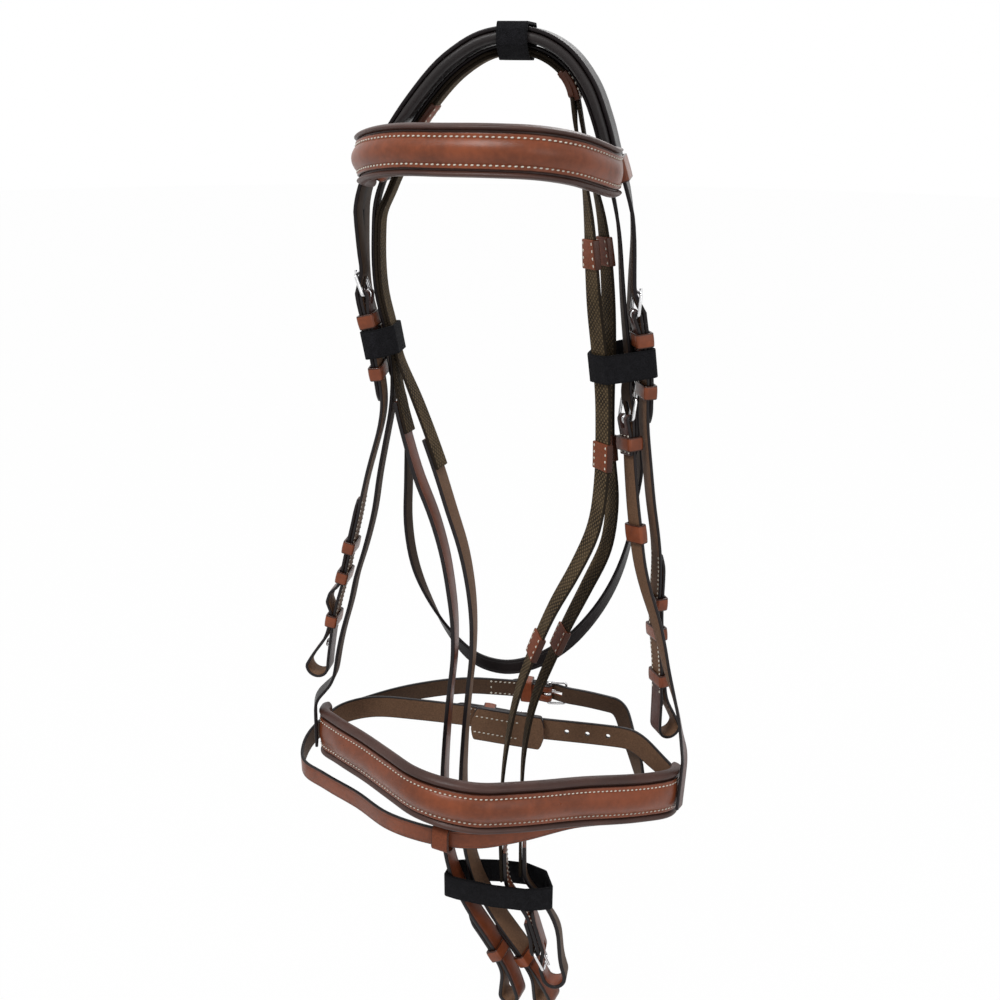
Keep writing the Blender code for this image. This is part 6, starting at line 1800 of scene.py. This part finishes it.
def reins():
    """Both reins, and the buckled pieces that join them."""
    arch = PLAN["arch"]
    web_a, rein_a = rein("rein_a", arch, WEB_THICK / 2, WEB_A_PLACES, REIN_A_PLACES,
                         WEB_A_END_SHARE)
    web_b, rein_b = rein("rein_b", arch, LIFT_WEB_B + WEB_THICK / 2, WEB_B_PLACES, REIN_B_PLACES,
                         WEB_B_END_SHARE)
    PLAN["reins"] = rein_a + rein_b + rein_centre(web_a, web_b)


def ties():
    """The four hook-and-loop ties."""
    arch, straps = PLAN["arch"], PLAN["reins"]
    top = Place(Vector((0.0, 0.0, SEAT_LIFT)), Vector((1.0, 0.0, 0.0)), Vector((0.0, 0.0, 1.0)))
    over = [PLAN["crown"], PLAN["pad"], PLAN["hangers"][0]]
    tie("top_tie", top, over + straps, floor=TIE_WALL - SEAT_LIFT)
    sides = PLAN["sides"] + PLAN["hangers"] + straps
    tie("left_tie", arch.at(off_run(arch, OFF_TIE_SHARE)), sides)
    tie("right_tie", arch.at(near_run(arch, NEAR_TIE_SHARE)), sides)
    spot, out = place_of(BOTTOM_TIE_PLACE)
    tie("bottom_tie", Place(spot, Vector((0.0, 0.0, -1.0)), out), straps)


def stitch_tree():
    """Even stitches along the lines of a mesh, each lying along its line, seam side out."""
    tree = bpy.data.node_groups.new("stitch_rows", "GeometryNodeTree")
    tree.is_modifier = True
    face = tree.interface
    face.new_socket("Geometry", in_out="INPUT", socket_type="NodeSocketGeometry")
    for name, size in (("Pitch", 0.0036), ("Stitch Length", 0.0025), ("Thread Width", 0.0009)):
        face.new_socket(name, in_out="INPUT", socket_type="NodeSocketFloat").default_value = size
    face.new_socket("Thread", in_out="INPUT", socket_type="NodeSocketMaterial")
    face.new_socket("Geometry", in_out="OUTPUT", socket_type="NodeSocketGeometry")

    def made(kind, values=None, **settings):
        return add_node(tree, kind, settings, values or {}).outputs

    def faced(axis, values, **settings):
        return made("FunctionNodeAlignRotationToVector", values, axis=axis, **settings)[0]

    given = made("NodeGroupInput")
    curve = made("GeometryNodeMeshToCurve", {0: given["Geometry"]})[0]
    spaced = made("GeometryNodeResampleCurve", {"Curve": curve, "Length": given["Pitch"]},
                  mode="LENGTH")[0]
    bead = made("GeometryNodeMeshUVSphere", {"Segments": 8, "Rings": 5, "Radius": 0.5})[0]
    width = given["Thread Width"]
    size = made("ShaderNodeCombineXYZ", {0: given["Stitch Length"], 1: width, 2: width})[0]
    shaped = made("GeometryNodeTransform",
                  {"Geometry": bead, "Rotation": (0.0, 0.0, STITCH_SLANT), "Scale": size})[0]
    out = made("GeometryNodeInputNamedAttribute", {"Name": "out"}, data_type="FLOAT_VECTOR")[0]
    tangent = made("GeometryNodeInputTangent")[0]
    turned = faced("X", {"Rotation": faced("Z", {"Vector": out}), "Vector": tangent},
                   pivot_axis="Z")
    placed = made("GeometryNodeInstanceOnPoints",
                  {"Points": spaced, "Instance": shaped, "Rotation": turned})[0]
    real = made("GeometryNodeRealizeInstances", {0: placed})[0]
    smooth_face = made("GeometryNodeSetShadeSmooth", {0: real})[0]
    dressed = made("GeometryNodeSetMaterial",
                   {"Geometry": smooth_face, "Material": given["Thread"]})[0]
    made("NodeGroupOutput", {0: dressed})
    return tree


def stitching(looks):
    """All noted seams as one piece of stitching."""
    mesh = bpy.data.meshes.new("seams")
    spots, edges, outs = [], [], []
    for row in SEAMS:
        first = len(spots)
        spots += [spot for spot, _ in row]
        outs += [out for _, out in row]
        edges += [(k, k + 1) for k in range(first, len(spots) - 1)]
    mesh.from_pydata(spots, edges, [])
    layer = mesh.attributes.new("out", "FLOAT_VECTOR", "POINT")
    layer.data.foreach_set("vector", [value for out in outs for value in out])
    obj = linked("look_stitching", mesh)
    maker = obj.modifiers.new("stitches", "NODES")
    tree = stitch_tree()
    maker.node_group = tree
    given = {item.name: item.identifier for item in tree.interface.items_tree
             if item.in_out == "INPUT"}
    for name, value in (("Pitch", looks.stitch_pitch), ("Stitch Length", looks.stitch_length),
                        ("Thread Width", looks.thread_width), ("Thread", FINISHES["thread"])):
        maker[given[name]] = value
    bpy.context.view_layer.update()
    made = evaluated(obj)
    obj.modifiers.clear()
    obj.data = made
    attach(obj, ROOT)


def camera():
    """The photograph's view of the hung bridle."""
    side, lift, roll = (math.radians(value) for value in CAMERA_TURNS)
    back = Vector((math.sin(side) * math.cos(lift), -math.cos(side) * math.cos(lift),
                   math.sin(lift)))
    right = Vector((math.cos(side), math.sin(side), 0.0))
    up = back.cross(right)
    right, up = (right * math.cos(roll) + up * math.sin(roll),
                 up * math.cos(roll) - right * math.sin(roll))
    data = bpy.data.cameras.new("camera")
    data.angle = 2 * math.atan(500.0 / (CAMERA_SCALE * CAMERA_AWAY))
    data.shift_x, data.shift_y = CAMERA_SHIFT
    data.clip_start = 0.01
    obj = linked("camera", data)
    obj.matrix_world = Matrix.Translation(CAMERA_AIM + back * CAMERA_AWAY) \
        @ Matrix((right, up, back)).transposed().to_4x4()
    bpy.context.scene.camera = obj


def soft_lamp(name, spot, aim, size, power):
    data = bpy.data.lights.new(name, "AREA")
    data.shape, data.size, data.energy = "DISK", size, power
    obj = linked(name, data)
    obj.location = spot
    obj.rotation_mode = "QUATERNION"
    obj.rotation_quaternion = (Vector(aim) - Vector(spot)).to_track_quat("-Z", "Y")


def bright_world():
    """Even sky light, which the eye, metal and glass see as white."""
    shade = Shade("studio", "worlds")
    sky, white = (shade.node("Background", {}, {"Color": WHITE, "Strength": level})
                  for level in (SKY_LEVEL, 1.0))
    mixed = shade.node("MixShader", {}, {0: shade.seen(), 1: sky, 2: white})
    bpy.context.scene.world = shade.closed(mixed, "World")


def stage():
    """A plain pale floor well below, soft lamps and the camera."""
    mesh = bmesh.new()
    bmesh.ops.create_circle(mesh, cap_ends=True, segments=96, radius=FLOOR_RADIUS,
                            matrix=Matrix.Translation((0.0, 0.0, CAD_BOX[0][2] - FLOOR_BELOW)))
    floor = linked("floor", baked(mesh, "floor"))
    floor.data.materials.append(shown_bright("pale_floor", FLOOR_TONE))
    for lamp in LAMPS:
        soft_lamp(*lamp)
    bright_world()
    camera()
    bpy.context.scene.view_settings.view_transform = "Standard"


def colour_property(name, words, colour):
    return bpy.props.FloatVectorProperty(name=name, description=words, subtype="COLOR", size=3,
                                         min=0.0, max=1.0, default=colour)


def length_property(name, words, size):
    return bpy.props.FloatProperty(name=name, description=words, default=size, min=0.0,
                                   subtype="DISTANCE", unit="LENGTH", precision=5)


class BridleLooks(bpy.types.PropertyGroup):
    """Colours and sizes of the finish"""
    black: colour_property("Black leather", "Crown, throatlatch and poll pad",
                           (0.0085, 0.0055, 0.0055))
    dark: colour_property("Dark leather", "Cheekpieces and nose straps", (0.072, 0.026, 0.020))
    rust: colour_property("Rust leather", "Browband, noseband and keepers", (0.195, 0.049, 0.018))
    flesh: colour_property("Flesh side", "The back of the straps", (0.150, 0.080, 0.044))
    # The two yarn colours are one yarn: dark in painted shade, light in painted light
    web_dark: colour_property("Dark yarn", "Shaded yarn of the reins", (0.021, 0.014, 0.008))
    web_light: colour_property("Light yarn", "Raised yarn of the reins", (0.140, 0.097, 0.052))
    thread: colour_property("Thread", "Stitching thread", (0.78, 0.74, 0.64))
    weave_pitch: length_property("Weave pitch", "Width of one yarn of the reins", 0.0019)
    stitch_pitch: length_property("Stitch pitch", "From one stitch to the next", 0.0037)
    stitch_length: length_property("Stitch length", "Length of one stitch", 0.0022)
    thread_width: length_property("Thread width", "Thickness of the thread", 0.0011)


class BridleOperator(bpy.types.Operator):
    """A step of dressing the bridle"""
    bl_options = {"REGISTER", "UNDO"}


class BRIDLE_OT_crown(BridleOperator):
    """Make the crown, its pad, the cheeks and the throatlatch"""
    bl_idname = "bridle.crown"
    bl_label = "Crown and cheeks"

    def execute(self, context):
        make_finishes(context.scene.bridle_looks)
        crown_and_cheeks()
        return {"FINISHED"}


class BRIDLE_OT_noseband(BridleOperator):
    """Make the noseband, its straps and the flash"""
    bl_idname = "bridle.noseband"
    bl_label = "Noseband"

    def execute(self, context):
        noseband()
        return {"FINISHED"}


class BRIDLE_OT_browband(BridleOperator):
    """Make the browband and its loops"""
    bl_idname = "bridle.browband"
    bl_label = "Browband"

    def execute(self, context):
        browband(PLAN["arch"], [PLAN["crown"], PLAN["hangers"][0]])
        return {"FINISHED"}


class BRIDLE_OT_reins(BridleOperator):
    """Make the web reins with their leather ends and hand stops"""
    bl_idname = "bridle.reins"
    bl_label = "Reins"

    def execute(self, context):
        reins()
        return {"FINISHED"}


class BRIDLE_OT_ties(BridleOperator):
    """Make the hook-and-loop ties"""
    bl_idname = "bridle.ties"
    bl_label = "Ties"

    def execute(self, context):
        ties()
        return {"FINISHED"}


class BRIDLE_OT_stitching(BridleOperator):
    """Stitch every seam that the other steps noted"""
    bl_idname = "bridle.stitching"
    bl_label = "Stitching"

    def execute(self, context):
        stitching(context.scene.bridle_looks)
        return {"FINISHED"}


class BRIDLE_OT_stage(BridleOperator):
    """Set the floor, the lamps and the camera"""
    bl_idname = "bridle.stage"
    bl_label = "Stage"

    def execute(self, context):
        stage()
        return {"FINISHED"}


STEPS = (BRIDLE_OT_crown, BRIDLE_OT_noseband, BRIDLE_OT_browband, BRIDLE_OT_reins,
         BRIDLE_OT_ties, BRIDLE_OT_stitching, BRIDLE_OT_stage)


class BRIDLE_PT_panel(bpy.types.Panel):
    """The bridle's colours, sizes and steps"""
    bl_label = "English bridle"
    bl_space_type = "VIEW_3D"
    bl_region_type = "UI"
    bl_category = "Bridle"

    def draw(self, context):
        looks = context.scene.bridle_looks
        for name in BridleLooks.__annotations__:
            self.layout.prop(looks, name)
        for step in STEPS:
            self.layout.operator(step.bl_idname)


def register():
    for made in (BridleLooks, *STEPS, BRIDLE_PT_panel):
        bpy.utils.register_class(made)
    bpy.types.Scene.bridle_looks = bpy.props.PointerProperty(type=BridleLooks)


def unregister():
    del bpy.types.Scene.bridle_looks
    for made in (BRIDLE_PT_panel, *reversed(STEPS), BridleLooks):
        bpy.utils.unregister_class(made)


def main():
    register()
    bpy.ops.bridle.crown()
    bpy.ops.bridle.noseband()
    bpy.ops.bridle.browband()
    bpy.ops.bridle.reins()
    bpy.ops.bridle.ties()
    bpy.ops.bridle.stitching()
    bpy.ops.bridle.stage()


if __name__ == "__main__":
    main()
